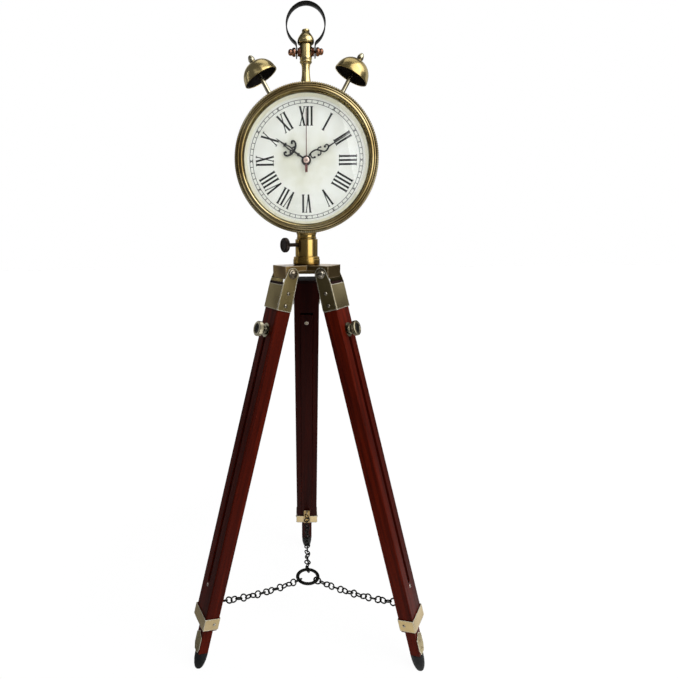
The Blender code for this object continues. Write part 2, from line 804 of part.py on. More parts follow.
def make_chain(leg, column, azimuth):
    """One chain as two runs of links, hinged at the leg's eye and at the ring."""
    links, outer_count, radius = chain_layout()
    plane = empty(leg + "_chain_plane", column, (0, 0, 0), (0, 0, azimuth))
    eye, ring_end = chain_ends()
    runs = {"outer": (eye, range(outer_count)), "inner": (ring_end, range(outer_count, len(links)))}
    for run, (hinge, chosen) in runs.items():
        origin = Vector((hinge[0], 0, hinge[1]))
        frame = empty(leg + "_chain_" + run + "_hinge", plane, origin)
        chain = None
        for i in chosen:
            centre, along = links[i]
            forward = Vector((along.x, 0, along.y))
            roll = link_roll if i % 2 else -link_roll
            side = forward.cross(Vector((0, 1, 0))).normalized()
            normal = Vector((0, 1, 0)) * math.cos(roll) + side * math.sin(roll)
            turn = Matrix((forward, normal.cross(forward), normal)).transposed().to_4x4()
            place = Matrix.Translation(Vector((centre.x, 0, centre.y)) - origin)
            mesh = torus_mesh(radius, link_wire_radius, link_steps, link_wire_steps)
            mesh.transform(place @ turn)
            if chain is None:
                chain = piece(leg + "_chain_" + run, mesh, "bronze_black", frame)
            else:
                boolean(chain, cutter(f"{leg}_{run}_link_{i}", mesh, frame), "UNION")


def make_chain_ring(column):
    """The ring that gathers the three chains."""
    mesh = torus_mesh(ring_radius, ring_wire_radius, medium_steps, 2 * corner_steps)
    piece("chain_ring", mesh, "bronze_black", column, location=(0, 0, ring_height))


def make_leg(name, azimuth, column, floor):
    """All that belongs to one leg."""
    leg = "leg_" + name
    place = (pivot_radius * math.cos(azimuth), pivot_radius * math.sin(azimuth), pivot_height)
    hinge = empty(leg + "_hinge", column, place, (leg_tilt, 0, azimuth - math.pi / 2))
    make_leg_wood(leg, hinge)
    make_slider(leg, hinge)
    make_cap(leg, hinge)
    make_pivot_bolt(leg, hinge)
    make_knob(leg, hinge)
    make_band(leg, hinge)
    make_shoe(leg, hinge)
    make_foot(leg, hinge, floor)
    make_chain_eye(leg, hinge)
    make_chain(leg, column, azimuth)


def make_spigot(column, case_space):
    """The clock's spigot: a tail in the socket and a collar cut to the case's curve."""
    tail_end = spigot_shoulder - spigot_tail_length
    top = clock_height - case_radius + collar_radius
    profile = [
        (0, top),
        (collar_radius, top),
        (collar_radius, spigot_shoulder),
        (spigot_radius, spigot_shoulder),
        (spigot_radius, tail_end + knob_chamfer),
        (spigot_radius - knob_chamfer, tail_end),
        (0, tail_end),
    ]
    spigot = turned("clock_spigot", profile, "brass", column, medium_steps)
    boolean(spigot, case_space, "DIFFERENCE")


def make_case(clock):
    """The case: a short drum with a turned-in edge at the back."""
    inner = case_radius - case_wall
    lip = case_back + case_wall
    profile = [
        (inner, case_front),
        (case_radius, case_front),
        (case_radius, case_back + case_back_round),
    ]
    centre = (case_radius - case_back_round, case_back + case_back_round)
    profile += arc(centre, case_back_round, 0, -math.pi / 2, corner_steps)[1:]
    profile += [(case_back_opening, case_back), (case_back_opening, lip)]
    profile += arc(centre, case_back_round - case_wall, -math.pi / 2, 0, 2)
    turned("clock_case", profile, "brass", clock, fine_steps, closed=True)


def make_bezel(clock):
    """The bezel: a lip, a round crest, a groove and an outer bead, with a skirt inside the case."""
    lip = bezel_opening
    crest = (bezel_crest_radius, bezel_crest)
    rise = bezel_crest - bezel_lip_front
    side = case_radius - bezel_crest_radius
    quarter = arc((0, 0), 1, math.pi / 2, 0, corner_steps)
    dome = [(crest[0] + side * x, crest[1] - (1 - y) * 2 * rise) for x, y in quarter]
    bead = arc((0, 0), 1, math.pi / 3, -math.pi / 3, corner_steps)
    bead_centre = bezel_bead_radius - bezel_bead_half
    seat = case_front + seat_gap
    skirt = case_radius - case_wall - running_gap
    recess_top = bezel_lip_front - glass_recess_depth
    profile = [(lip, bezel_lip_front), ((lip + crest[0]) / 2, bezel_crest - rise / 3)]
    profile += dome
    for x, y in bead:
        profile.append((bead_centre + bezel_bead_half * x, bezel_bead_height + bezel_bead_half * y))
    profile += [
        (bead_centre, seat),
        (skirt, seat),
        (skirt, bezel_skirt_back),
        (bezel_recess_radius, bezel_skirt_back),
        (bezel_recess_radius, recess_top),
        (lip, recess_top),
    ]
    turned("clock_bezel", profile, "brass", clock, fine_steps, closed=True)


def make_glass(clock):
    """The domed glass behind the bezel's lip."""
    shares = [0, 0.5, 0.8, 1.0]
    front = [(glass_radius * s, glass_front + glass_rise * (1 - s * s)) for s in shares]
    back = [(glass_radius * s, glass_back + glass_rise * (1 - s * s)) for s in reversed(shares)]
    turned("clock_glass", front + back, "glass", clock, fine_steps)


def make_dial(clock):
    """The dial: a flat disc with a sloping rim up to the glass."""
    rim_top = glass_back - seat_gap
    hole = tube_radius + seat_gap
    profile = [
        (hole, dial_front),
        (dial_flat_radius, dial_front),
        (glass_radius - dial_rim_lip, rim_top),
        (glass_radius, rim_top),
        (glass_radius, dial_back),
        (hole, dial_back),
    ]
    turned("clock_dial", profile, "dial_white", clock, fine_steps, closed=True)


def make_back_cover(clock):
    """The back cover: a pressed disc with a rim that plugs into the case."""
    plug = case_back_opening - running_gap
    plug_inner = plug - cover_sheet
    seat = case_back - seat_gap
    tip = case_back + cover_plug_length
    middle = plug_inner * 0.6
    profile = [
        (0, seat - cover_rise),
        (middle, seat - cover_rise * 0.7),
        (plug_inner, seat),
        (plug_inner, tip),
        (plug, tip),
        (plug, seat),
        (cover_radius, seat),
        (cover_radius, seat - cover_sheet * 0.6),
        (cover_radius - cover_sheet * 0.4, seat - cover_sheet),
        (middle, seat - cover_sheet - cover_rise * 0.7),
        (0, seat - cover_sheet - cover_rise),
    ]
    turned("back_cover", profile, "brass", clock, fine_steps)


def make_movement(clock):
    """The movement: a square box with a fixed tube, the hands' arbor and a pocket for its cell."""
    half = movement_side / 2
    back = movement_front - movement_depth
    outline = rounded_rectangle(half, half, half / 7)
    mesh = plate_mesh([outline], movement_depth)
    mesh.transform(Matrix.Translation((0, 0, back + movement_depth / 2)))
    movement = piece("movement", mesh, "black_plastic", clock)
    root = movement_front - movement_depth / 4
    tube = rod_mesh(tube_radius, root, tube_end, "Z", steps=medium_steps)
    boolean(movement, cutter("movement_tube", tube, clock), "UNION")
    arbor_end = second_plane + second_hub_height / 2
    arbor = rod_mesh(arbor_radius, root, arbor_end, "Z")
    boolean(movement, cutter("movement_arbor", arbor, clock), "UNION")
    pocket_length = battery_length + battery_tip_length + 2 * seat_gap
    pocket_side = 2 * (battery_radius + seat_gap)
    pocket = box_mesh(
        (pocket_length, pocket_side, pocket_side + cut_overrun),
        (battery_tip_length / 2, -battery_drop, back + (pocket_side - cut_overrun) / 2),
    )
    boolean(movement, cutter("cell_pocket", pocket, clock), "DIFFERENCE")
    stem = set_wheel_stem_radius + running_gap
    hole = rod_mesh(stem, back - cut_overrun, back + set_wheel_stem_length + seat_gap, "Z")
    boolean(movement, cutter("set_wheel_hole", hole, clock), "DIFFERENCE")
    return back


def make_battery(clock, back):
    """The cell in the movement's pocket, lying across it."""
    half = battery_length / 2
    profile = [
        (0, half + battery_tip_length),
        (battery_tip_radius, half + battery_tip_length),
        (battery_tip_radius, half),
        (battery_radius, half),
        (battery_radius, -half),
        (0, -half),
    ]
    place = (0, -battery_drop, back + battery_radius)
    turned("battery", profile, "cell_wrap", clock, coarse_steps, location=place, rotation=(0, math.pi / 2, 0))


def make_set_wheel(clock, back):
    """The wheel on the back of the movement that sets the hands."""
    top = back - seat_gap
    profile = [
        (0, back + set_wheel_stem_length),
        (set_wheel_stem_radius, back + set_wheel_stem_length),
        (set_wheel_stem_radius, top),
        (set_wheel_radius, top),
        (set_wheel_radius, top - set_wheel_height + knob_chamfer),
        (set_wheel_radius - knob_chamfer, top - set_wheel_height),
        (0, top - set_wheel_height),
    ]
    turned("set_wheel", profile, "black_plastic", clock, coarse_steps)


def make_hand_nut(clock):
    """The nut that clamps the dial to the movement's tube."""
    bore = circle((0, 0), tube_radius + seat_gap, medium_steps)
    mesh = plate_mesh([circle((0, 0), nut_radius, 6), bore], nut_height)
    place = (0, 0, dial_front + seat_gap + nut_height / 2)
    piece("hand_nut", mesh, "brass", clock, location=place)


def hand_outline(length, hub_radius, lobes, stem_half):
    """A hand pointing along +y: a hub, scroll lobes along the stem, and a pointed tip.

    Each lobe is the share of the length where it sits, its half width and its half height as
    shares of the length.
    """
    right = [(stem_half, hub_radius * math.cos(math.asin(min(1, stem_half / hub_radius))))]
    for place, wide, tall in lobes:
        right.append((stem_half, length * (place - tall)))
        right.append((length * wide * 0.8, length * (place - tall * 0.55)))
        right.append((length * wide, length * (place + tall * 0.1)))
        right.append((length * wide * 0.6, length * (place + tall * 0.7)))
        right.append((stem_half, length * (place + tall)))
    left = [(-x, y) for x, y in reversed(right)]
    gap = math.asin(min(1, stem_half / hub_radius))
    hub = arc((0, 0), hub_radius, math.pi / 2 + gap, 2.5 * math.pi - gap, medium_steps)[1:-1]
    return right + [(0, length)] + left + hub


def make_hands(clock):
    """The hour and minute hands with scroll lobes, and the thin second hand with its cap."""
    bore = circle((0, 0), arbor_radius + running_gap, 12)
    hour_lobes = [(0.24, 0.06, 0.05), (0.5, 0.17, 0.13), (0.72, 0.05, 0.05)]
    minute_lobes = [(0.2, 0.045, 0.04), (0.36, 0.085, 0.07), (0.52, 0.055, 0.05)]
    stem_half = hand_thickness
    specs = [
        ("hour_hand", hour_length, hour_hub_radius, hour_lobes, hour_plane, hour_angle),
        ("minute_hand", minute_length, minute_hub_radius, minute_lobes, minute_plane, minute_angle),
    ]
    for name, length, hub, lobes, plane, angle in specs:
        mesh = plate_mesh([hand_outline(length, hub, lobes, stem_half), bore], hand_thickness)
        place = (0, 0, plane + hand_thickness / 2)
        piece(name, mesh, "hand_black", clock, location=place, rotation=(0, 0, -angle))
    needle = [
        (-stem_half / 2, second_length),
        (-stem_half, 0),
        (-stem_half, -second_tail * 0.45),
        (-3 * stem_half, -second_tail * 0.55),
        (-3 * stem_half, -second_tail),
        (3 * stem_half, -second_tail),
        (3 * stem_half, -second_tail * 0.55),
        (stem_half, -second_tail * 0.45),
        (stem_half, 0),
        (stem_half / 2, second_length),
    ]
    mesh = plate_mesh([needle], hand_thickness)
    mesh.transform(Matrix.Translation((0, 0, second_plane + hand_thickness / 2)))
    second = piece("second_hand", mesh, "copper", clock)
    cap = rod_mesh(second_hub_radius, second_plane, second_plane + second_hub_height, "Z")
    boolean(second, cutter("second_cap", cap, clock), "UNION")
    blind_end = second_plane + second_hub_height / 2 + seat_gap
    blind = rod_mesh(arbor_radius + running_gap, second_plane - cut_overrun, blind_end, "Z")
    boolean(second, cutter("second_bore", blind, clock), "DIFFERENCE")


def make_bell(side, sign, centre, case_space):
    """A bell and the post that carries it, leaning outward from the top of the case."""
    axis = empty("bell_axis_" + side, centre, rotation=(0, sign * bell_angle, 0))
    angles = [math.pi / 2 * i / bell_steps for i in range(bell_steps + 1)]
    hole = post_neck_radius + seat_gap

    def dome(radius, height):
        points = [(radius * math.sin(a) ** bell_power, height * math.cos(a)) for a in angles[1:]]
        return [(hole, height)] + points

    outer = dome(bell_radius, bell_height)
    inner = dome(bell_radius - bell_wall, bell_height - bell_wall)
    profile = [(r, bell_rim_distance + h) for r, h in outer + inner[::-1]]
    turned("bell_" + side, profile, "brass", axis, medium_steps, closed=True)
    shoulder = bell_rim_distance + bell_height - bell_wall - seat_gap
    nut = bell_rim_distance + bell_height + seat_gap
    tip = nut + bell_finial_height
    profile = [
        (0, tip),
        (bell_finial_top, tip - bell_finial_height * 0.06),
        (bell_finial_top, tip - bell_finial_height * 0.3),
        (bell_finial_base, nut + bell_finial_height * 0.3),
        (bell_finial_base, nut),
        (post_neck_radius, nut),
        (post_neck_radius, shoulder),
        (post_radius, shoulder),
        (post_radius, case_radius - post_radius),
        (0, case_radius - post_radius),
    ]
    post = turned("bell_post_" + side, profile, "brass", axis, coarse_steps)
    boolean(post, case_space, "DIFFERENCE")


def make_crown(column, case_space):
    """The turned stem on top of the case, bored across for the bail's bolt."""
    span = crown_base_radius - crown_waist_radius
    radii = [crown_waist_radius + span * share for share in crown_flare_share]
    collar_step = (crown_collar_radius + crown_waist_radius) / 2
    radii += [crown_waist_radius, collar_step, crown_collar_radius, crown_collar_radius]
    radii += [(crown_collar_radius + crown_barrel_radius) / 2, crown_barrel_radius, crown_barrel_radius]
    heights = [crown_base_z + crown_height * share for share in crown_height_share]
    heights[0] = crown_base_z - crown_base_radius / 4
    outer = list(zip(radii, heights))[::-1]
    profile = [(0, heights[-1])] + outer + [(0, heights[0])]
    stem = turned("crown_stem", profile, "brass", column, coarse_steps)
    boolean(stem, case_space, "DIFFERENCE")
    bosses = rod_mesh(boss_radius, -boss_reach, boss_reach, "X", (0, bail_pivot_z))
    boolean(stem, cutter("crown_bosses", bosses, column), "UNION")
    reach = boss_reach + cut_overrun
    hole = rod_mesh(bail_bolt_radius + running_gap, -reach, reach, "X", (0, bail_pivot_z))
    boolean(stem, cutter("crown_cross_hole", hole, column), "DIFFERENCE")


def make_acorn(column):
    """The acorn finial on the crown."""
    base = crown_top + seat_gap
    tip = acorn_tip_radius / acorn_radius
    shares = list(zip(acorn_height_share, acorn_radius_share))
    outer = [(acorn_radius * max(across, tip), base + acorn_height * along) for along, across in shares]
    outer = outer[::-1]
    profile = [(0, outer[0][1])] + outer + [(0, base)]
    turned("acorn_finial", profile, "brass", column, coarse_steps)


def bail_line():
    """The bail's middle line seen from the front, from the left tail up round the loop to the right."""
    rise = bail_loop_rise - bail_tail_top_rise
    offset = bail_tail_offset
    spread = bail_loop_radius - offset
    reach = (rise * rise + spread * spread) / (2 * spread)
    bend = reach - bail_loop_radius
    end = math.asin(rise / reach)
    loop = arc((0, bail_loop_rise), bail_loop_radius, -end, math.pi + end, bail_loop_steps)
    bend_centre = (offset + bend, bail_tail_top_rise)
    right = arc(bend_centre, bend, math.pi, math.pi - end, bail_bend_steps)[:-1]
    right = [(offset, -bail_tail_drop)] + right
    left = [(-x, z) for x, z in reversed(right)]
    return right + loop + left


def make_bail(axis):
    """The bail: a flat strap bent to a loop, bored at both tails for the bolt."""
    mesh = bpy.data.meshes.new("bail")
    line = bail_line()
    half = bail_depth / 2
    points = [(x, side * half, z) for x, z in line for side in (-1, 1)]
    faces = [(2 * i, 2 * i + 1, 2 * i + 3, 2 * i + 2) for i in range(len(line) - 1)]
    mesh.from_pydata(points, [], faces)
    bail = piece("bail", mesh, "bronze_black", axis)
    shell = bail.modifiers.new("strap", "SOLIDIFY")
    shell.thickness = bail_strap
    shell.offset = 0
    shell.use_even_offset = True
    reach = bail_tail_offset + cut_overrun
    hole = rod_mesh(bail_bolt_radius + running_gap, -reach, reach, "X")
    boolean(bail, cutter("bail_holes", hole, axis), "DIFFERENCE")


def make_bail_fixings(axis):
    """The bolt through the crown and the acorn nuts on its ends."""
    strap_face = bail_tail_offset + bail_strap / 2
    end = strap_face + bail_bolt_past_strap
    piece("bail_bolt", rod_mesh(bail_bolt_radius, -end, end, "X"), "copper", axis)
    shares = zip(bail_nut_height_share, bail_nut_radius_share)
    outer = [(bail_nut_radius * across, bail_nut_length * along) for along, across in shares]
    bore = bail_bolt_radius + seat_gap
    profile = outer + [(bore, 0), (bore, bail_nut_depth), (0, bail_nut_depth)]
    for side, sign in (("left", -1), ("right", 1)):
        place = (sign * (strap_face + seat_gap), 0, 0)
        turn = (0, sign * math.pi / 2, 0)
        turned("bail_nut_" + side, profile, "copper", axis, coarse_steps, location=place, rotation=turn)


def make_clock(column):
    """The clock head and all that it carries."""
    centre = empty("clock_centre", column, (0, 0, clock_height))
    clock = empty("clock_front", centre, rotation=(math.pi / 2, 0, 0))
    space = rod_mesh(case_radius + seat_gap, case_back, case_front, "Y", (0, 0), steps=3 * fine_steps)
    case_space = cutter("case_space", space, centre, location=(0, 0, 0))
    make_spigot(column, case_space)
    make_case(clock)
    make_bezel(clock)
    make_glass(clock)
    make_dial(clock)
    back = make_movement(clock)
    make_battery(clock, back)
    make_set_wheel(clock, back)
    make_hand_nut(clock)
    make_hands(clock)
    make_back_cover(clock)
    make_bell("left", -1, centre, case_space)
    make_bell("right", 1, centre, case_space)
    make_crown(column, case_space)
    make_acorn(column)
    bail_axis = empty("bail_axis", column, (0, 0, bail_pivot_z))
    make_bail(bail_axis)
    make_bail_fixings(bail_axis)


def build():
    """Builds the whole clock."""
    clear_scene()
    make_materials()
    column = empty("column", None, (0, column_y, 0))
    make_head(column)
    screw_frame = make_socket(column)
    make_thumbscrew(screw_frame)
    make_chain_ring(column)
    floor_side = 4 * stand_radius
    under = foot_end_s / 4
    floor = cutter("floor", box_mesh((floor_side, floor_side, under), (0, 0, -under / 2)), None)
    for name, azimuth in leg_azimuths.items():
        make_leg(name, azimuth, column, floor)
    make_clock(column)


build()
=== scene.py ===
"""The looks of the tripod table clock: fine shapes, finishes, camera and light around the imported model.

Lengths are metres. The points given to drawn() are millimetres, unless it is told otherwise.
Each leg has a frame of its own on its pivot bolt: X along the bolt, Y outward, Z up the leg.
The clock has one at the middle of its case: X right, Y up, Z towards the viewer.
"""
import json
import math

import bmesh
import bpy
from mathutils import Matrix, Vector


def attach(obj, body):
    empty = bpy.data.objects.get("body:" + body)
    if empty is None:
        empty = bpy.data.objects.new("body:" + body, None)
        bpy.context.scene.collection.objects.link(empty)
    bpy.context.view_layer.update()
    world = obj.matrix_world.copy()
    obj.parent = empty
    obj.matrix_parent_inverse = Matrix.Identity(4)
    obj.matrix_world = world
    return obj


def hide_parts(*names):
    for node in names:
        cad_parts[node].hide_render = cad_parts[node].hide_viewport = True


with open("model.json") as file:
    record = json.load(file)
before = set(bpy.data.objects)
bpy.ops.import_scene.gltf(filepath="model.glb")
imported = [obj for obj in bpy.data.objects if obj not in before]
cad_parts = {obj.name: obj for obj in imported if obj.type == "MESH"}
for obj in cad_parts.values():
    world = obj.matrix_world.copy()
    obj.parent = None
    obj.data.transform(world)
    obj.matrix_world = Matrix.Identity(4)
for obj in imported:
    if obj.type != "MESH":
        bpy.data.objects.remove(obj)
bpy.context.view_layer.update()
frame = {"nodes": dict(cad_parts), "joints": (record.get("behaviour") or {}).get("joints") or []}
joints = {joint["name"]: joint for joint in frame["joints"]}

# Counts and widths shared by all the pieces
round_steps = 96
small_steps = 48
disc_steps = 192
fillet_steps = 3
edge_round = 0.00035
wear_and_sheen_reach = 0.0018
film = 0.00002


def joint_place(name):
    return Vector(joints[name]["pos_m"])


def axes(x, y, z):
    """The turn whose axes lie along three vectors."""
    return Matrix((x, y, z)).transposed().to_4x4()


def corners(node, place):
    """The corners of a CAD node, measured in a frame."""
    back = place.inverted()
    return [back @ vertex.co for vertex in frame["nodes"][node].data.vertices]


def span(node, place):
    """The lowest and the highest corner of a CAD node, measured in a frame."""
    points = corners(node, place)
    return [Vector([pick(point[i] for point in points) for i in range(3)]) for pick in (min, max)]


swivel = joint_place("clock_swivel")
arbor = joint_place("minute_hand_turn")
column = Matrix.Translation((0, swivel.y, 0))
case_middle = Matrix.Translation((0, swivel.y, arbor.z))
clock = case_middle @ Matrix.Rotation(math.pi / 2, 4, "X")
bail_axis = Matrix.Translation(joint_place("bail_swing"))


class Nodes:
    """A short way to write a node tree."""

    def __init__(self, tree):
        self.tree = tree

    def fill(self, socket, value):
        """Gives a socket another node's output, a colour or a plain value."""
        if isinstance(value, bpy.types.NodeSocket):
            self.tree.links.new(value, socket)
        elif socket.type == "RGBA":
            socket.default_value = (*value, 1.0)
        else:
            socket.default_value = value

    def add(self, kind, inputs=None, **settings):
        node = self.tree.nodes.new("ShaderNode" + kind)
        for name, value in settings.items():
            setattr(node, name, value)
        for name, value in (inputs or {}).items():
            self.fill(node.inputs[name], value)
        return node

    def stretched(self, scale):
        """The object's coordinates, scaled along each axis."""
        return self.add("Mapping", {"Scale": scale, "Vector": self.coordinates}).outputs["Vector"]

    def noise(self, scale, detail=4.0, roughness=0.55, stretch=None, distortion=0.0):
        place = self.stretched(stretch) if stretch else self.coordinates
        inputs = {"Vector": place, "Scale": scale, "Detail": detail, "Roughness": roughness}
        return self.add("TexNoise", {**inputs, "Distortion": distortion}).outputs["Fac"]

    def ramp(self, source, stops):
        """A colour ramp of (place, colour) stops."""
        node = self.add("ValToRGB", {"Fac": source})
        elements = node.color_ramp.elements
        while len(elements) < len(stops):
            elements.new(0.5)
        for element, (place, colour) in zip(elements, stops):
            element.position = place
            element.color = (*colour, 1.0)
        return node.outputs["Color"]

    def spread(self, source, low, high, start=0.3, end=0.7, **settings):
        """A number that runs from low to high as the source runs from start to end."""
        inputs = {"Value": source, "From Min": start, "From Max": end, "To Min": low, "To Max": high}
        return self.add("MapRange", inputs, **settings).outputs["Result"]

    def mix(self, factor, first, second, kind="RGBA"):
        a, b, result = (6, 7, 2) if kind == "RGBA" else (2, 3, 0)
        return self.add("Mix", {0: factor, a: first, b: second}, data_type=kind).outputs[result]

    def times(self, first, second):
        return self.add("Math", {0: first, 1: second}, operation="MULTIPLY").outputs["Value"]

    def larger(self, first, second):
        return self.add("Math", {0: first, 1: second}, operation="MAXIMUM").outputs["Value"]

    def length(self, vector):
        return self.add("VectorMath", {0: vector}, operation="LENGTH").outputs["Value"]

    def parts(self, vector):
        return self.add("SeparateXYZ", {"Vector": vector}).outputs

    def bump(self, source, strength, distance):
        node = self.add("Bump", {"Strength": strength, "Distance": distance, "Height": source})
        self.set(normal=node.outputs["Normal"])

    def edges(self, radius):
        """How near a point is to an outer edge, from the turn of a rounded normal."""
        normals = {0: self.add("Bevel", {"Radius": radius}, samples=4).outputs["Normal"]}
        normals[1] = self.add("NewGeometry").outputs["Normal"]
        turn = self.add("VectorMath", normals, operation="DOT_PRODUCT")
        return self.spread(turn.outputs["Value"], 1.0, 0.0, 0.90, 0.995)

    def set(self, **values):
        """Fills sockets of the surface shader."""
        for name, value in values.items():
            self.fill(self.shader.inputs[name.replace("_", " ").title().replace("Ior", "IOR")], value)

    def clear_for(self, share, shader, tint=(1.0, 1.0, 1.0)):
        """Makes the surface clear for a share of the rays, and the given shader for the rest."""
        clear = self.add("BsdfTransparent", {"Color": tint})
        mixed = self.add("MixShader", {"Fac": share, 1: shader, 2: clear.outputs["BSDF"]})
        self.fill(self.tree.nodes["Material Output"].inputs["Surface"], mixed.outputs["Shader"])


materials = {}


def new_material(name):
    """The nodes of a new material that belongs to one of the record's slots."""
    materials[name] = bpy.data.materials.new(name)
    materials[name].use_nodes = True
    nodes = Nodes(materials[name].node_tree)
    nodes.shader = nodes.tree.nodes["Principled BSDF"]
    nodes.coordinates = nodes.add("TexCoord").outputs["Object"]
    return nodes


def make_metal(name, slot, bright, middle, dark, rough, patina, recess=(0.03, 0.018, 0.008), wear_and_sheen_tone=None):
    """Antique metal: polished tone mottled with patina, darker in recesses, finely scratched; where an edge
    tone is given, pale along the outer edges, partly wear and partly a painted highlight.
    """
    nodes = new_material(name)
    clouds = nodes.noise(26.0, 1.5, 0.5)
    specks = nodes.noise(420.0, 3.0, 0.6)
    tone = nodes.ramp(clouds, [(0.30, dark), (0.30 + patina, middle), (0.72, bright)])
    tone = nodes.mix(nodes.spread(specks, 0.0, 0.10, 0.45, 0.75), tone, dark)
    # Pale, less metallic outer edges: partly rubbed wear, partly a painted highlight line along each edge
    if wear_and_sheen_tone:
        wear_and_sheen_share = nodes.edges(wear_and_sheen_reach)
        tone = nodes.mix(wear_and_sheen_share, tone, wear_and_sheen_tone)
    shade = nodes.add("AmbientOcclusion", {"Distance": 0.0035}, samples=4)
    hollow = nodes.spread(shade.outputs["AO"], 0.85, 0.0, 0.40, 0.92)
    nodes.set(
        base_color=nodes.mix(hollow, tone, recess),
        metallic=nodes.spread(wear_and_sheen_share, 1.0, 0.2, 0.0, 1.0) if wear_and_sheen_tone else 1.0,
        roughness=nodes.spread(clouds, rough * 1.1, rough * 0.9),
    )
    nodes.bump(nodes.noise(1500.0, 2.0, 0.5, stretch=(1.0, 1.0, 0.25)), 0.04, 0.0001)


def make_wood():
    """Dark red mahogany, its grain along the leg, with painted shade on its top end, above its cap's plate
    and on the faces towards the middle of the stand.
    """
    nodes = new_material("mahogany")
    grain = nodes.noise(1.0, 6.0, 0.62, stretch=(210.0, 210.0, 7.0), distortion=0.6)
    pores = nodes.noise(1.0, 3.0, 0.6, stretch=(1500.0, 1500.0, 42.0))
    figure = nodes.noise(1.0, 3.0, 0.5, stretch=(26.0, 26.0, 3.2))
    tones = [(0.28, (0.038, 0.004, 0.0018)), (0.48, (0.145, 0.0115, 0.0032)), (0.72, (0.265, 0.022, 0.0048))]
    tone = nodes.ramp(grain, tones)
    tone = nodes.mix(nodes.spread(figure, 0.0, 0.7, 0.42, 0.66), tone, (0.055, 0.0052, 0.0025))
    tone = nodes.mix(nodes.spread(pores, 0.55, 0.0, 0.30, 0.46), tone, (0.008, 0.002, 0.002))
    # Painted shade: the faces towards the middle of the stand, the top end and the wood above the cap's plate
    # are darkened as if in shade
    facing = nodes.parts(nodes.add("TexCoord").outputs["Normal"])
    inward = nodes.spread(facing["Y"], 0.72, 0.0, -0.9, -0.5)
    upward = nodes.spread(facing["Z"], 0.0, 0.9, 0.6, 0.95)
    plate_top = -0.0135
    above_cap_shade = nodes.spread(nodes.parts(nodes.coordinates)["Z"], 0.0, 0.95, plate_top - 0.0012, plate_top)
    shaded = nodes.larger(inward, nodes.larger(upward, above_cap_shade))
    nodes.set(
        base_color=nodes.mix(shaded, tone, (0.018, 0.0045, 0.004)),
        roughness=nodes.spread(grain, 0.40, 0.30),
        specular_ior_level=0.06,
    )
    nodes.bump(nodes.mix(0.5, grain, pores), 0.10, 0.0002)


def make_plain(name, light, dark, rough, metallic=0.0, scale=240.0, relief=0.1, gloss=0.3):
    """A finish of two near tones with fine grain: rubber, plastic, print, dark metal."""
    nodes = new_material(name)
    grain = nodes.noise(scale, 4.0, 0.6)
    nodes.set(
        base_color=nodes.ramp(grain, [(0.32, dark), (0.68, light)]),
        roughness=nodes.spread(grain, rough * 1.15, rough * 0.85),
        metallic=metallic,
        specular_ior_level=gloss,
    )
    nodes.bump(nodes.noise(scale * 4, 2.0), relief, 0.0001)


dial_flat = 0.0620
numeral_inner = 0.0341
numeral_outer = 0.0528


def make_dial_finish():
    """Ivory enamel: whiter under the numerals, creamier and mottled in the middle, warmer on its rim."""
    nodes = new_material("dial_white")
    radius = nodes.length(nodes.stretched((1.0, 1.0, 0.0)))
    middle = nodes.spread(radius, 1.0, 0.0, numeral_inner * 0.7, numeral_inner * 1.06)
    rim = nodes.spread(radius, 0.0, 1.0, dial_flat - 0.0008, dial_flat + 0.0006)
    clouds = nodes.noise(46.0)
    paper = nodes.ramp(clouds, [(0.34, (0.84, 0.835, 0.77)), (0.62, (0.92, 0.92, 0.88))])
    cream = nodes.ramp(clouds, [(0.34, (0.76, 0.75, 0.62)), (0.66, (0.90, 0.895, 0.82))])
    tone = nodes.mix(rim, nodes.mix(middle, paper, cream), (0.91, 0.87, 0.68))
    nodes.set(base_color=tone, roughness=0.42, specular_ior_level=0.35)
    nodes.bump(nodes.noise(900.0, 2.0), 0.04, 0.0001)


def make_glass():
    """Clear glass that lets the lamps' light through to the dial."""
    nodes = new_material("glass")
    nodes.set(base_color=(0.97, 0.985, 0.98), roughness=0.02, transmission_weight=1.0, ior=1.45)
    shadows = nodes.add("LightPath").outputs["Is Shadow Ray"]
    nodes.clear_for(shadows, nodes.shader.outputs["BSDF"], (0.96, 0.97, 0.96))


make_metal("brass", "brass", (0.96, 0.81, 0.43), (0.84, 0.67, 0.31), (0.60, 0.45, 0.17), 0.24, 0.20)
make_metal("column_brass", "brass", (0.74, 0.52, 0.18), (0.62, 0.40, 0.11), (0.40, 0.24, 0.055), 0.22, 0.16)
make_metal("case_brass", "brass", (0.78, 0.65, 0.36), (0.64, 0.50, 0.24), (0.36, 0.24, 0.08), 0.24, 0.20)
# Near-black brass for the bezel's inner lip: painted shade inside the bezel
make_metal("lip_shade_brass", "brass", (0.26, 0.20, 0.07), (0.17, 0.125, 0.04), (0.08, 0.055, 0.018), 0.24, 0.20)
make_metal("knob_brass", "brass", (0.84, 0.78, 0.58), (0.66, 0.59, 0.40), (0.25, 0.20, 0.11), 0.22, 0.20)
rope_tones = ((0.90, 0.80, 0.52), (0.78, 0.66, 0.38), (0.45, 0.32, 0.13))
make_metal("rope_brass", "brass", *rope_tones, 0.30, 0.20, recess=(0.012, 0.008, 0.003))
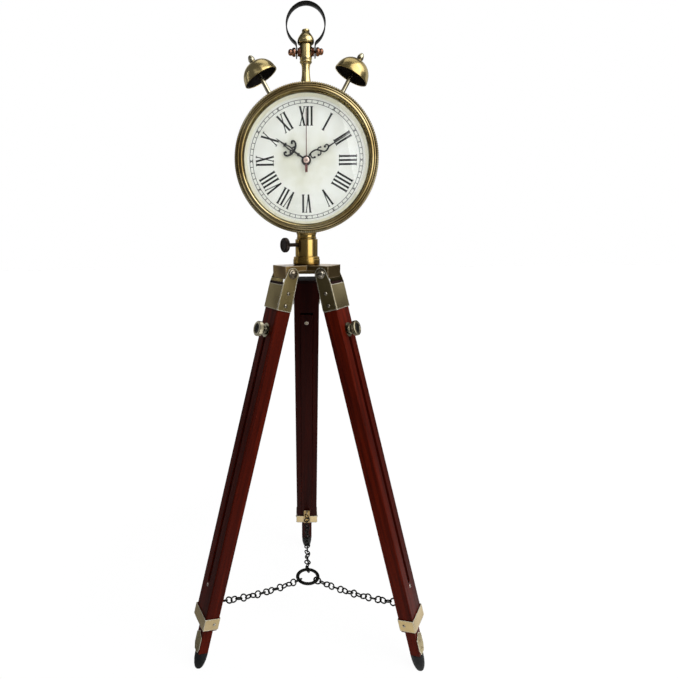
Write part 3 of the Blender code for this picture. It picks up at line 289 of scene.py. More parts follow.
# The pale edge tones below paint a highlight along the edges, as well as wear
furniture_tones = ((0.46, 0.37, 0.18), (0.36, 0.285, 0.125), (0.20, 0.15, 0.06))
make_metal("furniture", "brass", *furniture_tones, 0.26, 0.20, wear_and_sheen_tone=(0.95, 0.90, 0.74))
band_tones = ((0.72, 0.57, 0.33), (0.58, 0.45, 0.23), (0.32, 0.23, 0.10))
make_metal("band_brass", "brass", *band_tones, 0.28, 0.20, wear_and_sheen_tone=(0.95, 0.90, 0.74))
plate_tones = ((0.50, 0.34, 0.13), (0.36, 0.235, 0.08), (0.16, 0.095, 0.03))
make_metal("dark_brass", "dark_brass", *plate_tones, 0.28, 0.22, wear_and_sheen_tone=(0.62, 0.50, 0.32))
make_metal("bolt_brass", "dark_brass", (0.92, 0.88, 0.78), (0.70, 0.64, 0.52), (0.20, 0.16, 0.11), 0.14, 0.20)
make_metal("copper", "copper", (0.70, 0.40, 0.29), (0.46, 0.22, 0.135), (0.13, 0.05, 0.028), 0.22, 0.18)
make_metal("cap_bright", "copper", (0.86, 0.74, 0.68), (0.72, 0.58, 0.52), (0.40, 0.26, 0.22), 0.20, 0.1)
make_wood()
make_plain("bronze_black", (0.014, 0.014, 0.01), (0.005, 0.005, 0.004), 0.42, gloss=0.16)
make_plain("rubber", (0.015, 0.015, 0.015), (0.007, 0.007, 0.007), 0.55, gloss=0.2)
make_plain("hand_black", (0.008, 0.008, 0.008), (0.003, 0.003, 0.003), 0.45, gloss=0.15)
make_plain("print", (0.007, 0.007, 0.007), (0.003, 0.003, 0.003), 0.7, relief=0.02, gloss=0.08)
# Near-black inside of the bells: painted shade
make_plain("painted_bell_shade", (0.016, 0.011, 0.009), (0.007, 0.005, 0.004), 0.6, 0.2, 500.0)
make_plain("hand_red", (0.15, 0.035, 0.03), (0.085, 0.02, 0.018), 0.45)
make_plain("knob_face", (0.06, 0.055, 0.038), (0.022, 0.02, 0.014), 0.42, 0.8, 900.0)
make_plain("thumb_black", (0.06, 0.045, 0.038), (0.022, 0.016, 0.013), 0.40, 0.7, 900.0)
make_plain("black_plastic", (0.035, 0.035, 0.035), (0.02, 0.02, 0.02), 0.48)
make_plain("cell_wrap", (0.10, 0.12, 0.16), (0.06, 0.07, 0.10), 0.32, 0.4)
make_dial_finish()
make_glass()


def arc(centre, radius, start, end, steps):
    """Points on an arc in a plane, both ends included."""
    angles = [start + (end - start) * i / steps for i in range(steps + 1)]
    return [(centre[0] + radius * math.cos(a), centre[1] + radius * math.sin(a)) for a in angles]


def drawn(points, up=0.0, out=0.0, tall=0.001, wide=0.001):
    """Points in millimetres, or in shares of a width and a height, moved up and outward."""
    return [(out + wide * across, up + tall * along) for across, along in points]


def rounded(points, radius):
    """The same line with each corner turned into a small arc."""
    line = [Vector(point) for point in points]
    made = [tuple(line[0])]
    for before, corner, after in zip(line, line[1:], line[2:]):
        before = before - corner
        after = after - corner
        if before.angle(after) > math.radians(165):
            made.append(tuple(corner))
            continue
        reach = min(radius, before.length * 0.45, after.length * 0.45)
        start = corner + before.normalized() * reach
        end = corner + after.normalized() * reach
        for step in range(fillet_steps + 1):
            t = step / fillet_steps
            made.append(tuple(start * (1 - t) ** 2 + corner * 2 * t * (1 - t) + end * t * t))
    return made + [tuple(line[-1])]


def smooth(points, steps=6):
    """A smooth line through the given points."""
    line = [Vector(point) for point in points]
    line = [line[0] * 2 - line[1]] + line + [line[-1] * 2 - line[-2]]
    made = []
    for a, b, c, d in zip(line, line[1:], line[2:], line[3:]):
        for step in range(steps):
            t = step / steps
            curve = (2 * a - 5 * b + 4 * c - d) * t * t + (3 * b - a - 3 * c + d) * t ** 3
            made.append(tuple((2 * b + (c - a) * t + curve) / 2))
    return made + [tuple(line[-2])]


def to_mesh(shape, outward=True):
    """A mesh from a bmesh, its faces turned outward."""
    if outward:
        bmesh.ops.recalc_face_normals(shape, faces=shape.faces)
    mesh = bpy.data.meshes.new("shape")
    shape.to_mesh(mesh)
    shape.free()
    return mesh


def surface(rings, closed=False):
    """A skin over rings of points, where a ring of one point is a tip."""
    shape = bmesh.new()
    rows = [[shape.verts.new(point) for point in ring] for ring in rings]
    for first, second in zip(rows, rows[1:] + rows[:1] if closed else rows[1:]):
        steps = max(len(first), len(second))
        for i in range(steps):
            j = (i + 1) % steps
            places = [first[i % len(first)], first[j % len(first)]]
            places += [second[j % len(second)], second[i % len(second)]]
            places = list(dict.fromkeys(places))
            if len(places) > 2:
                shape.faces.new(places)
    return shape


def turns(steps):
    """The angles of a full turn in equal steps."""
    return [2 * math.pi * i / steps for i in range(steps)]


def lathe(profile, steps=round_steps, closed=False, wave=None):
    """A turned mesh about Z from (radius, height) points. A wave changes the radius at each step."""
    rings = []
    for radius, height in profile:
        ring = []
        for turn in turns(steps):
            here = wave(radius, turn) if wave else radius
            ring.append((here * math.cos(turn), here * math.sin(turn), height))
        rings.append(ring if radius >= film else [(0, 0, height)])
    return to_mesh(surface(rings, closed))


def rod(radius, low, high, steps=small_steps):
    """A plain round bar along Z."""
    return lathe([(0, low), (radius, low), (radius, high), (0, high)], steps)


def coil(radius, steps, around, wire_at, height=0.0, squash=1.0):
    """A ring of wire about Z, whose wire may swell and which is longer along X where squash is over 1."""
    rings = []
    for turn in turns(steps):
        ring = []
        for lean in turns(around):
            wire = wire_at(turn, lean)
            reach = radius + wire * math.cos(lean)
            place = (reach * math.cos(turn) * squash, reach * math.sin(turn), height + wire * math.sin(lean))
            ring.append(place)
        rings.append(ring)
    return to_mesh(surface(rings, closed=True))


def torus(radius, wire, steps, around, squash=1.0):
    """A ring of round wire."""
    return coil(radius, steps, around, lambda turn, lean: wire, squash=squash)


def add_prism(shape, outline, low, high, sides=None):
    """Adds an upright prism on a flat outline to a bmesh, with all of its sides or only some."""
    under, over = [[shape.verts.new((x, y, z)) for x, y in outline] for z in (low, high)]
    shape.faces.new(under[::-1])
    shape.faces.new(over)
    for i in sides or range(len(outline)):
        j = (i + 1) % len(outline)
        shape.faces.new((under[i], under[j], over[j], over[i]))


def left_of(line, i):
    """The unit vector to the left of a flat line at one of its points."""
    along = Vector(line[min(i + 1, len(line) - 1)]) - Vector(line[max(i - 1, 0)])
    along.normalize()
    return Vector((-along.y, along.x))


def add_ribbon(shape, line, widths, low, high):
    """Adds a flat strip of changing width along a line to a bmesh, closed only where its ends show."""
    last = len(line) - 1
    pairs = []
    for i, point in enumerate(line):
        across = left_of(line, i) * (widths[0] + (widths[1] - widths[0]) * i / last)
        pairs.append((tuple(Vector(point) + across), tuple(Vector(point) - across)))
    for i in range(last):
        (left, right), (next_left, next_right) = pairs[i], pairs[i + 1]
        sides = (0, 2) + (3,) * (i == 0) + (1,) * (i + 1 == last)
        add_prism(shape, (left, next_left, next_right, right), low, high, sides)


def add_ring(shape, outer, inner, low, high, steps=32):
    """Adds a flat ring of blocks to a bmesh, with no walls along its two rims."""
    for a in turns(steps):
        b = a + 2 * math.pi / steps
        places = ((inner, a), (outer, a), (outer, b), (inner, b))
        outline = [(radius * math.cos(turn), radius * math.sin(turn)) for radius, turn in places]
        add_prism(shape, outline, low, high, (0, 2))


def welded(shape):
    """A mesh from a bmesh whose neighbouring blocks are joined."""
    bmesh.ops.remove_doubles(shape, verts=shape.verts, dist=film / 4)
    return to_mesh(shape)


def box_mesh(low, high):
    """A box between two corners."""
    shape = bmesh.new()
    bmesh.ops.create_cube(shape, size=1.0)
    low, high = Vector(low), Vector(high)
    bmesh.ops.scale(shape, vec=high - low, verts=shape.verts)
    bmesh.ops.translate(shape, vec=(high + low) / 2, verts=shape.verts)
    return to_mesh(shape)


def in_scene(name, data):
    """A new object, put into the scene."""
    made = bpy.data.objects.new(name, data)
    bpy.context.scene.collection.objects.link(made)
    return made


def evaluated(mesh, kind, **settings):
    """The mesh after one modifier."""
    holder = in_scene("holder", mesh)
    modifier = holder.modifiers.new(kind.lower(), kind)
    for name, value in settings.items():
        setattr(modifier, name, value)
    made = bpy.data.meshes.new_from_object(holder.evaluated_get(bpy.context.evaluated_depsgraph_get()))
    bpy.data.objects.remove(holder, do_unlink=True)
    return made


def soften(mesh, width=edge_round, segments=2, angle=32):
    """The mesh with its edges rounded."""
    limit = math.radians(angle)
    return evaluated(mesh, "BEVEL", width=width, segments=segments, limit_method="ANGLE", angle_limit=limit)


def cut(mesh, tool, operation="DIFFERENCE"):
    """The mesh cut by, or joined to, another."""
    other = in_scene("tool", tool)
    made = evaluated(mesh, "BOOLEAN", object=other, operation=operation, solver="EXACT")
    bpy.data.objects.remove(other, do_unlink=True)
    return made


def joined(meshes):
    """Several meshes as one."""
    shape = bmesh.new()
    for mesh in meshes:
        shape.from_mesh(mesh)
    return to_mesh(shape, outward=False)


def moved(mesh, matrix):
    """A copy of the mesh, placed by a matrix."""
    copy = mesh.copy()
    copy.transform(matrix)
    return copy


def cad_shape(node, place):
    """A CAD node's own shape in a frame, with its flat faces made whole again."""
    shape = bmesh.new()
    shape.from_mesh(frame["nodes"][node].data)
    bmesh.ops.transform(shape, matrix=place.inverted(), verts=shape.verts)
    bmesh.ops.remove_doubles(shape, verts=shape.verts, dist=film / 2)
    bmesh.ops.dissolve_limit(shape, angle_limit=math.radians(1), verts=shape.verts, edges=shape.edges)
    return to_mesh(shape)


# Finishes whose pattern follows the piece's own axes, so that their pieces keep a frame of their own
grained = ("mahogany", "dial_white")


def piece(name, mesh, material, body, place, node=None, crease=35, flat=False):
    """A finished piece that rides on a body and may stand for a CAD node. Flat faces shade flat."""
    if material not in grained:
        mesh = moved(mesh, place)
        place = Matrix()
    mesh.shade_smooth()
    mesh.set_sharp_from_angle(angle=math.radians(crease))
    if flat:
        mesh = evaluated(mesh, "WEIGHTED_NORMAL", keep_sharp=True)
    made = in_scene(name, mesh)
    made.matrix_world = place
    mesh.materials.clear()
    mesh.materials.append(materials[material])
    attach(made, body)
    if node:
        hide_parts(node)


def turned_to(axis):
    """The turn that brings Z onto X, the opposite of X, or Y."""
    degrees, about = {"X": (90, "Y"), "-X": (-90, "Y"), "Y": (-90, "X")}[axis]
    return Matrix.Rotation(math.radians(degrees), 4, about)


def screw_mesh(radius, rise, slot_turn):
    """A small round-head screw, its head up, with a slot across it."""
    dome = [(radius * math.cos(a), rise * math.sin(a)) for a in (0, 0.35, 0.7, 1.05, 1.35)]
    head = lathe([(0, -rise / 2), (radius, -rise / 2)] + dome + [(0, rise)], 24)
    half = radius * 0.16
    blade = box_mesh((-radius * 1.2, -half, rise * 0.45), (radius * 1.2, half, rise * 1.5))
    return cut(head, moved(blade, Matrix.Rotation(slot_turn, 4, "Z")))


def knurl(teeth, depth, radius_from):
    """A wave that cuts teeth into everything outside a radius."""
    def wave(radius, turn):
        return radius if radius < radius_from else radius - depth * (0.5 - 0.5 * math.cos(turn * teeth))
    return wave


# The tripod
sideways_up = axes((0, 1, 0), (0, 0, 1), (1, 0, 0))
both_ways = ((1, "X"), (-1, "-X"))
screw_rise = 0.0010
wide_screw = 0.0021
band_screw = 0.0017
shoe_screw = 0.0013
bolt_radius = 0.0022
knob_to_slot_end = 0.012
slot_screw_past_end = 0.0036
cap_screws_down = (0.0215, 0.0350)
shoe_screws_down = (0.4345, 0.4430)
band_screw_out = -0.0030
slider_in_foot = 0.0015


class Leg:
    """One leg: its frame, from the axes of its fold and of its inner leg's slide, and its pieces."""

    def __init__(self, side):
        self.start = f"leg_{side}"
        along, up = [-Vector(self.joint(name)["axis"]) for name in ("fold", "extend")]
        self.place = Matrix.Translation(self.joint("fold")["pos_m"]) @ axes(along, up.cross(along), up)

    def joint(self, name):
        return joints[f"{self.start}_{name}"]

    def inside(self, name):
        """Where a joint stands, in the leg's frame."""
        return self.place.inverted() @ Vector(self.joint(name)["pos_m"])

    def span(self, node):
        return span(f"{self.start}_{node}", self.place)

    def cad(self, node):
        return cad_shape(f"{self.start}_{node}", self.place)

    def piece(self, name, mesh, material, node=None, body="", place=None, **looks):
        place = self.place if place is None else place
        node = node and f"{self.start}_{node}"
        piece(f"{self.start}_{name}", mesh, material, self.start + body, place, node, **looks)

    def screws(self, name, material, seats, radius, rise=screw_rise, body=""):
        """Small screws as one piece, each from its place, the way it looks and the turn of its slot."""
        made = []
        for place, axis, slot_turn in seats:
            seat = Matrix.Translation(place) @ turned_to(axis)
            made.append(moved(screw_mesh(radius, rise, slot_turn), seat))
        self.piece(name, joined(made), material, body=body)


def make_leg_wood(leg):
    """The channelled wooden body with softened edges, and the screw below its slot."""
    leg.piece("body_wood", soften(leg.cad("body"), 0.0006, 2, 40), "mahogany", "body", flat=True)
    slot_end = leg.joint("extend")["range_m"][1] + knob_to_slot_end - leg.inside("knob_turn").z
    place = (0, leg.span("body")[1].y, -slot_end - slot_screw_past_end)
    leg.screws("slot_screw", "cap_bright", [(place, "Y", math.radians(20))], wide_screw)


def make_slider(leg):
    """The inner leg, which shows in the slot and below the band."""
    low, high = leg.span("slider")
    foot_top = leg.span("foot")[1].z
    hidden = box_mesh(low * 2, (high.x * 2, high.y * 2, foot_top - slider_in_foot))
    mesh = soften(cut(leg.cad("slider"), hidden), 0.0004)
    leg.piece("slider_wood", mesh, "mahogany", "slider", "_inner", flat=True)


def make_cap(leg):
    """The bent brass cap: an outer plate between two straps with ears, and its four screws."""
    low, high = leg.span("hinge_cap")
    wood_low, wood_high = leg.span("body")
    sheet = high.y - wood_high.y
    ear = high.z
    outside = [point.z for point in corners(leg.start + "_hinge_cap", leg.place) if point.y > high.y - film]
    plate_top = max(outside)
    bend = 0.0012
    corner = 0.0022
    profile = arc((low.y + corner, low.z + corner), corner, math.pi, 1.5 * math.pi, 4)
    profile += [(high.y, low.z), (high.y, plate_top)] + arc((0, 0), ear, 0, math.pi, 20)
    shape = bmesh.new()
    add_prism(shape, profile, low.x, high.x)
    bmesh.ops.transform(shape, matrix=sideways_up, verts=shape.verts)
    edges = []
    for edge in shape.edges:
        start, end = [vertex.co for vertex in edge.verts]
        if min(start.y, end.y) > high.y - film and abs(start.x - end.x) < film:
            edges.append(edge)
    bmesh.ops.bevel(shape, geom=edges, offset=bend, segments=4, affect="EDGES", profile=0.5)
    left, right = wood_low.x - sheet * 0.3, wood_high.x + sheet * 0.3
    inner = box_mesh((left, low.y - ear, low.z - ear), (right, high.y - sheet * 0.75, ear * 2))
    above = box_mesh((left, 0, plate_top), (right, high.y * 2, ear * 2))
    hole = moved(rod(bolt_radius, low.x * 2, high.x * 2), turned_to("X"))
    shell = soften(cut(cut(cut(to_mesh(shape), inner), above), hole), 0.00022, 2, 40)
    leg.piece("hinge_cap_brass", shell, "furniture", "hinge_cap", crease=40, flat=True)
    seats = []
    for way, axis in both_ways:
        for i, down in enumerate(cap_screws_down):
            seats.append(((way * high.x, 0, -down), axis, 0.6 + i * 0.9))
    leg.screws("cap_screws", "bolt_brass", seats, wide_screw)


def make_pivot_bolt(leg):
    """The bolt through the cap's ears, with a domed slotted head at each end."""
    high = leg.span("pivot_bolt")[1]
    cap = leg.span("hinge_cap")[1].x
    radius = high.y
    rise = high.x - cap
    washer = cap + rise * 0.30
    boss = radius * 0.76
    dome = [(math.cos(a), math.sin(a)) for a in (0.05, 0.35, 0.7, 1.0, 1.25)]
    dome = drawn(dome, washer, tall=high.x - washer, wide=boss)
    half = [(bolt_radius, cap), (radius, cap), (radius, washer - 0.0003), (radius - 0.0004, washer)]
    half += [(boss + 0.0003, washer)] + dome + [(0, high.x)]
    mesh = moved(lathe([(r, -h) for r, h in reversed(half)] + half, small_steps), turned_to("X"))
    slot = radius * 0.11
    for way in (-1, 1):
        near, far = sorted((way * (cap + rise * 0.6), way * (high.x + rise)))
        mesh = cut(mesh, box_mesh((near, -radius, -slot), (far, radius, slot)))
    leg.piece("pivot_bolt_turned", mesh, "bolt_brass", "pivot_bolt")


def make_knob(leg):
    """The clamp knob: washer, ball neck and a knurled head with a dished face, and its stud's far end."""
    low, high = leg.span("knob")
    wood_low, wood_high = leg.span("body")
    radius = (high.x - low.x) / 2
    start = wood_high.y + film * 5
    washer = radius * 0.94
    neck = radius * 0.66
    face = high.y
    rim = face - 0.0052
    stud = low.y
    profile = [(0, stud), (0.002, stud), (0.002, start), (washer, start), (washer, start + 0.0008)]
    profile += [(neck * 0.72, start + 0.0010)]
    profile += drawn(arc((0, 0), 1, -0.9, 0.9, 4), (start + rim) / 2, tall=0.0018, wide=neck)
    profile += [(neck * 0.68, rim - 0.0003), (radius - 0.0010, rim), (radius, rim + 0.0007)]
    profile += [(radius, rim + 0.0018), (radius, face - 0.0018), (radius, face - 0.0008)]
    profile += [(radius - 0.0009, face), (radius * 0.70, face), (radius * 0.62, face - 0.0009)]
    profile += [(radius * 0.30, face - 0.0012), (0, face - 0.0009)]
    teeth = 44
    head = lathe(profile, teeth * 6, wave=knurl(teeth, 0.00045, radius - 0.0003))
    seat = Matrix.Translation(((low.x + high.x) / 2, 0, (low.z + high.z) / 2)) @ turned_to("Y")
    leg.piece("knob_knurled", moved(head, seat), "knob_brass", "knob", "_clamp", crease=30)
    end = drawn([(0, 0.4), (1.0, 0.4), (1.4, 0), (2.2, 0), (2.6, 0.3)], stud)
    end += [(0.0026, wood_low.y - 0.0001), (0, wood_low.y - 0.0001)]
    leg.piece("knob_end", moved(lathe(end, 32), seat), "cap_bright", body="_clamp")
    slot = box_mesh((-radius * 0.48, -radius * 0.09, face - 0.0010), (radius * 0.48, radius * 0.09, face))
    disc = cut(rod(radius * 0.66, face - 0.0014, face - 0.0004, 40), slot)
    turn = Matrix.Rotation(math.radians(62), 4, "Z")
    leg.piece("knob_face", moved(disc, seat @ turn), "knob_face", body="_clamp")


def make_band(leg):
    """The brass band round the foot of the wooden body, and a screw on each side of it."""
    low, high = leg.span("band")
    leg.piece("band_brass", soften(leg.cad("band"), 0.0003), "band_brass", "band", flat=True)
    seats = [((way * high.x, band_screw_out, (low.z + high.z) / 2), axis, 0.4) for way, axis in both_ways]
    leg.screws("band_screws", "bolt_brass", seats, band_screw)


def make_shoe(leg):
    """The pointed plate above the foot and its two screws."""
    out = leg.span("shoe_plate")[1].y
    mesh = soften(leg.cad("shoe_plate"), 0.0002)
    leg.piece("shoe_plate_brass", mesh, "furniture", "shoe_plate", "_inner", flat=True)
    seats = [((0, out, -down), "Y", 0.9) for down in shoe_screws_down]
    leg.screws("shoe_screws", "dark_brass", seats, shoe_screw, screw_rise * 0.6, "_inner")


def make_foot(leg):
    """The rubber foot, a bullet cut level where it stands."""
    low, high = leg.span("foot")
    inset = film * 8
    radius = (high.x - low.x) / 2 - inset
    bullet = [(0.90, 0), (1.0, 0.035), (1.0, 0.28), (0.94, 0.52), (0.80, 0.76), (0.58, 0.95), (0.3, 1.06)]
    profile = [(0, high.z)] + drawn(smooth(bullet, 5), high.z, tall=low.z - high.z, wide=radius)
    profile.append((0, profile[-1][1]))
    shape = bmesh.new()
    shape.from_mesh(lathe(profile, small_steps))
    bmesh.ops.translate(shape, vec=(0, high.y - radius - inset, 0), verts=shape.verts)
    back = leg.place.inverted()
    ground = back @ Vector((leg.place.translation.x, leg.place.translation.y, film))
    parts = shape.verts[:] + shape.edges[:] + shape.faces[:]
    upward = back.to_3x3() @ Vector((0, 0, 1))
    kept = bmesh.ops.bisect_plane(shape, geom=parts, plane_co=ground, plane_no=upward, clear_inner=True)
    rim = [part for part in kept["geom_cut"] if isinstance(part, bmesh.types.BMEdge)]
    bmesh.ops.holes_fill(shape, edges=rim)
    leg.piece("foot_rubber", to_mesh(shape), "rubber", "foot", "_inner")


link_wire = 0.00086
link_pitch_wanted = 0.00625
link_overlap = 0.0005
link_gap = 0.0003
link_roll = math.radians(45)
link_twist = math.radians(23)
chain_sag = 0.0045
outer_links = 9
end_link_longer = 0.28


def make_chain(leg):
    """One chain, link by link: its outer run rides on the leg's eye, its inner run on the ring."""
    start, end = [Vector(leg.joint(name)["pos_m"]) for name in ("chain_eye_turn", "chain_ring_turn")]
    across = end - start
    sideways = Vector((0, 0, 1)).cross(-Vector((across.x, across.y, 0)).normalized())

    def at(t):
        return start + across * t - Vector((0, 0, 4 * chain_sag * t * (1 - t)))

    def pace(t):
        return across - Vector((0, 0, 4 * chain_sag * (1 - 2 * t)))

    def onward(t, distance):
        return t + distance / pace(t + distance / 2 / pace(t).length).length

    parts = 20
    length = sum(pace((i + 0.5) / parts).length for i in range(parts)) / parts
    count = round(length / link_pitch_wanted)
    pitch = (length + 2 * link_overlap - 2 * link_wire + link_gap) / count
    radius = (pitch - link_overlap) / 2 + link_wire
    t = onward(0, radius)
    links = []
    for i in range(count):
        forward = pace(t).normalized()
        roll = (link_roll if i % 2 else -link_roll) + link_twist * i
        normal = sideways * math.cos(roll) - forward.cross(sideways).normalized() * math.sin(roll)
        longer = end_link_longer if i + 1 == count else 0.0
        link = torus(radius - link_wire * 0.1, link_wire, 28, 10, 1.0 + longer)
        place = Matrix.Translation(at(t) + forward * radius * longer)
        links.append(moved(link, place @ axes(forward, normal.cross(forward), normal)))
        t = onward(t, pitch - link_overlap - link_gap if i + 1 == outer_links else pitch)
    runs = (("outer", "_chain_a", links[:outer_links]), ("inner", "_chain_b", links[outer_links:]))
    for run, body, meshes in runs:
        node = "chain_" + run
        leg.piece(node + "_links", joined(meshes), "bronze_black", node, body, Matrix())


def make_chain_eye(leg):
    """The eye on the band's inner side that holds the chain."""
    low, high = leg.span("chain_eye")
    radius = 0.0026
    back = high.y - 0.0010
    plate = soften(box_mesh((low.x, back, low.z), high), 0.0003)
    middle = Vector((0, back - radius, leg.inside("chain_eye_turn").z + 0.0003))
    loop = moved(torus(radius, 0.0007, 28, 10), Matrix.Translation(middle) @ turned_to("X"))
    leg.piece("chain_eye_loop", joined([plate, loop]), "dark_brass", "chain_eye", flat=True)


lug_root = 0.0185
lug_rise = 0.0018
arm_in = -0.003
stub_bore = 0.0051
bolt_play = 0.0001
flange_height = 0.0085
play = 0.0003


def make_head():
    """The three-armed head: each arm ends in a lug whose underside rises towards the middle."""
    low, high = span("head_plate", column)
    under = span("socket_sleeve", column)[0].z
    half = legs[-1].span("body")[1].x
    reach, corner = high.y, 0.0005
    section = [(arm_in, high.z), (arm_in, under), (lug_root, under), (lug_root, low.z + lug_rise)]
    section += [(reach - corner, low.z), (reach, low.z + corner), (reach, high.z)]
    shape = bmesh.new()
    add_prism(shape, section, -half, half)
    bmesh.ops.transform(shape, matrix=sideways_up, verts=shape.verts)
    arm = to_mesh(shape)
    mesh = arm
    for turn in (120, 240):
        mesh = cut(mesh, moved(arm, Matrix.Rotation(math.radians(turn), 4, "Z")), "UNION")
    bore = rod(bolt_radius + bolt_play, -half * 2, half * 2)
    for leg in legs:
        mesh = cut(mesh, moved(bore, column.inverted() @ leg.place @ turned_to("X")))
    mesh = cut(mesh, rod(stub_bore, under * 0.9, high.z * 1.1))
    mesh = soften(mesh, 0.0006, 3, 30)
    piece("head_plate_cast", mesh, "dark_brass", "stand", column, "head_plate", flat=True)


def make_socket():
    """The flanged socket with the hole for its thumbscrew."""
    low, high = span("socket_sleeve", column)
    flange = high.x
    sleeve = 0.0124
    seat = low.z + 0.006 + play
    top = seat + flange_height
    profile = [(0, low.z), (0.005, low.z), (0.005, seat)]
    profile += drawn([(-0.4, 0), (0, 0.5)], seat, flange)
    profile += drawn([(0, -3.0), (-0.5, -2.6), (-0.5, -0.6), (-1.1, 0)], top, flange)
    profile += drawn([(0.4, 0), (0, 0.4)], top, sleeve) + drawn([(0, -0.5), (-0.5, 0)], high.z, sleeve)
    profile += [(0.0095, high.z), (0.0095, seat + 0.0036), (0, seat + 0.0036)]
    drill = moved(rod(0.0024, -0.018, 0), column.inverted() @ screw_place)
    mesh = cut(lathe(rounded(profile, 0.0003)), drill)
    piece("socket_turned", mesh, "column_brass", "stand", column, "socket_sleeve")


def make_thumbscrew():
    """The knurled thumbscrew in the side of the socket."""
    low, high = span("socket_thumbscrew", screw_place)
    radius = high.x
    head = [(0, low.z), (0.002, low.z)]
    head += drawn([(2.0, -3.2), (2.7, -2.8), (3.6, -0.5), (4.4, 0)])
    head += [(radius - 0.0009, 0.0), (radius, 0.0009)] + drawn([(0, -1.0), (-1.0, 0)], high.z, radius)
    head += [(radius * 0.66, high.z), (radius * 0.56, high.z - 0.0006), (0, high.z - 0.0006)]
    teeth = 30
    mesh = lathe(rounded(head, 0.0003), teeth * 6, wave=knurl(teeth, 0.0006, radius - 0.0004))
    piece("thumbscrew_knurled", mesh, "thumb_black", "thumbscrew", screw_place, "socket_thumbscrew", 30)


def make_chain_ring():
    """The ring that gathers the chains, a split ring of two coils."""
    low, high = span("chain_ring", column)
    wire = (high.z - low.z) / 2 * 0.84
    coils = [torus(high.x - wire * out, wire, round_steps, 20) for out in (1, 2.9)]
    place = Matrix.Translation((0, swivel.y, (low.z + high.z) / 2))
    piece("chain_ring_wire", joined(coils), "bronze_black", "stand", place, "chain_ring")


legs = [Leg(side) for side in ("left", "right", "rear")]
screw_turn = Vector(joints["thumbscrew_turn"]["axis"]).to_track_quat("Z", "Y").to_matrix().to_4x4()
screw_place = Matrix.Translation(joint_place("thumbscrew_turn")) @ screw_turn
make_head()
make_socket()
make_thumbscrew()
make_chain_ring()
for leg in legs:
    make_leg_wood(leg)
    make_slider(leg)
    make_cap(leg)
    make_pivot_bolt(leg)
    make_knob(leg)
    make_band(leg)
    make_shoe(leg)
    make_foot(leg)
    make_chain_eye(leg)
    make_chain(leg)


# The clock
case_low, case_high = span("clock_case", clock)
bezel_low, bezel_high = span("clock_bezel", clock)
glass_low, glass_high = span("clock_glass", clock)
dial_low, dial_high = span("clock_dial", clock)
case_radius = case_high.x
case_space = rod(case_radius + play, case_low.z, case_high.z, disc_steps)
back_opening = case_radius - 0.0092
bezel_opening = 0.0645
dial_bore = 0.0042
dial_front = 0.0120
rope_strands = 206
rope_wire = 0.00185


def on_clock(name, mesh, material, node=None, place=clock, body="clock", **looks):
    piece(name, mesh, material, body, place, node, **looks)


def out_of_case(mesh, place):
    """The mesh without what would stand inside the case."""
    return cut(mesh, moved(case_space, place.inverted() @ clock))


def make_spigot():
    """The clock's spigot with the moulded collar that shows over the socket."""
    low, high = span("clock_spigot", column)
    shoulder = span("socket_sleeve", column)[1].z + play
    profile = drawn([(0, 0), (8.4, 0), (9.2, 0.8)], low.z) + [(0.0092, shoulder)]
    profile += drawn([(0, 0), (0, 1.2), (-0.6, 1.8), (-0.6, 4.6), (0, 5.2)], shoulder, high.x)
    profile += [(high.x, high.z + 0.004), (0, high.z + 0.004)]
    mesh = out_of_case(lathe(rounded(profile, 0.0003)), column)
    on_clock("spigot_turned", mesh, "column_brass", "clock_spigot", column)


def make_case():
    """The drum of the case, its back edge rolled in, with a fine bead at the front and the back."""
    wall = 0.0009
    back, front = case_low.z, case_high.z
    profile = [(case_radius - wall, front)] + drawn([(0, 0), (0, -2.6)], front, case_radius)
    profile += arc((case_radius - 0.0003, front - 0.0033), 0.0005, 0.9, -0.9, 4)
    profile += [(case_radius - 0.0003, front - 0.0042), (case_radius - 0.0003, back + 0.0058)]
    profile += arc((case_radius - 0.0004, back + 0.0050), 0.0005, 0.9, -0.9, 4)
    profile += [(case_radius, back + 0.0042)]
    roll = 0.0018
    corner = (case_radius - roll, back + roll)
    profile += arc(corner, roll, 0, -math.pi / 2, 8) + [(back_opening, back), (back_opening, back + wall)]
    profile += arc(corner, roll - wall, -math.pi / 2, 0, 4)
    on_clock("case_drum", lathe(profile, disc_steps, closed=True), "case_brass", "clock_case")


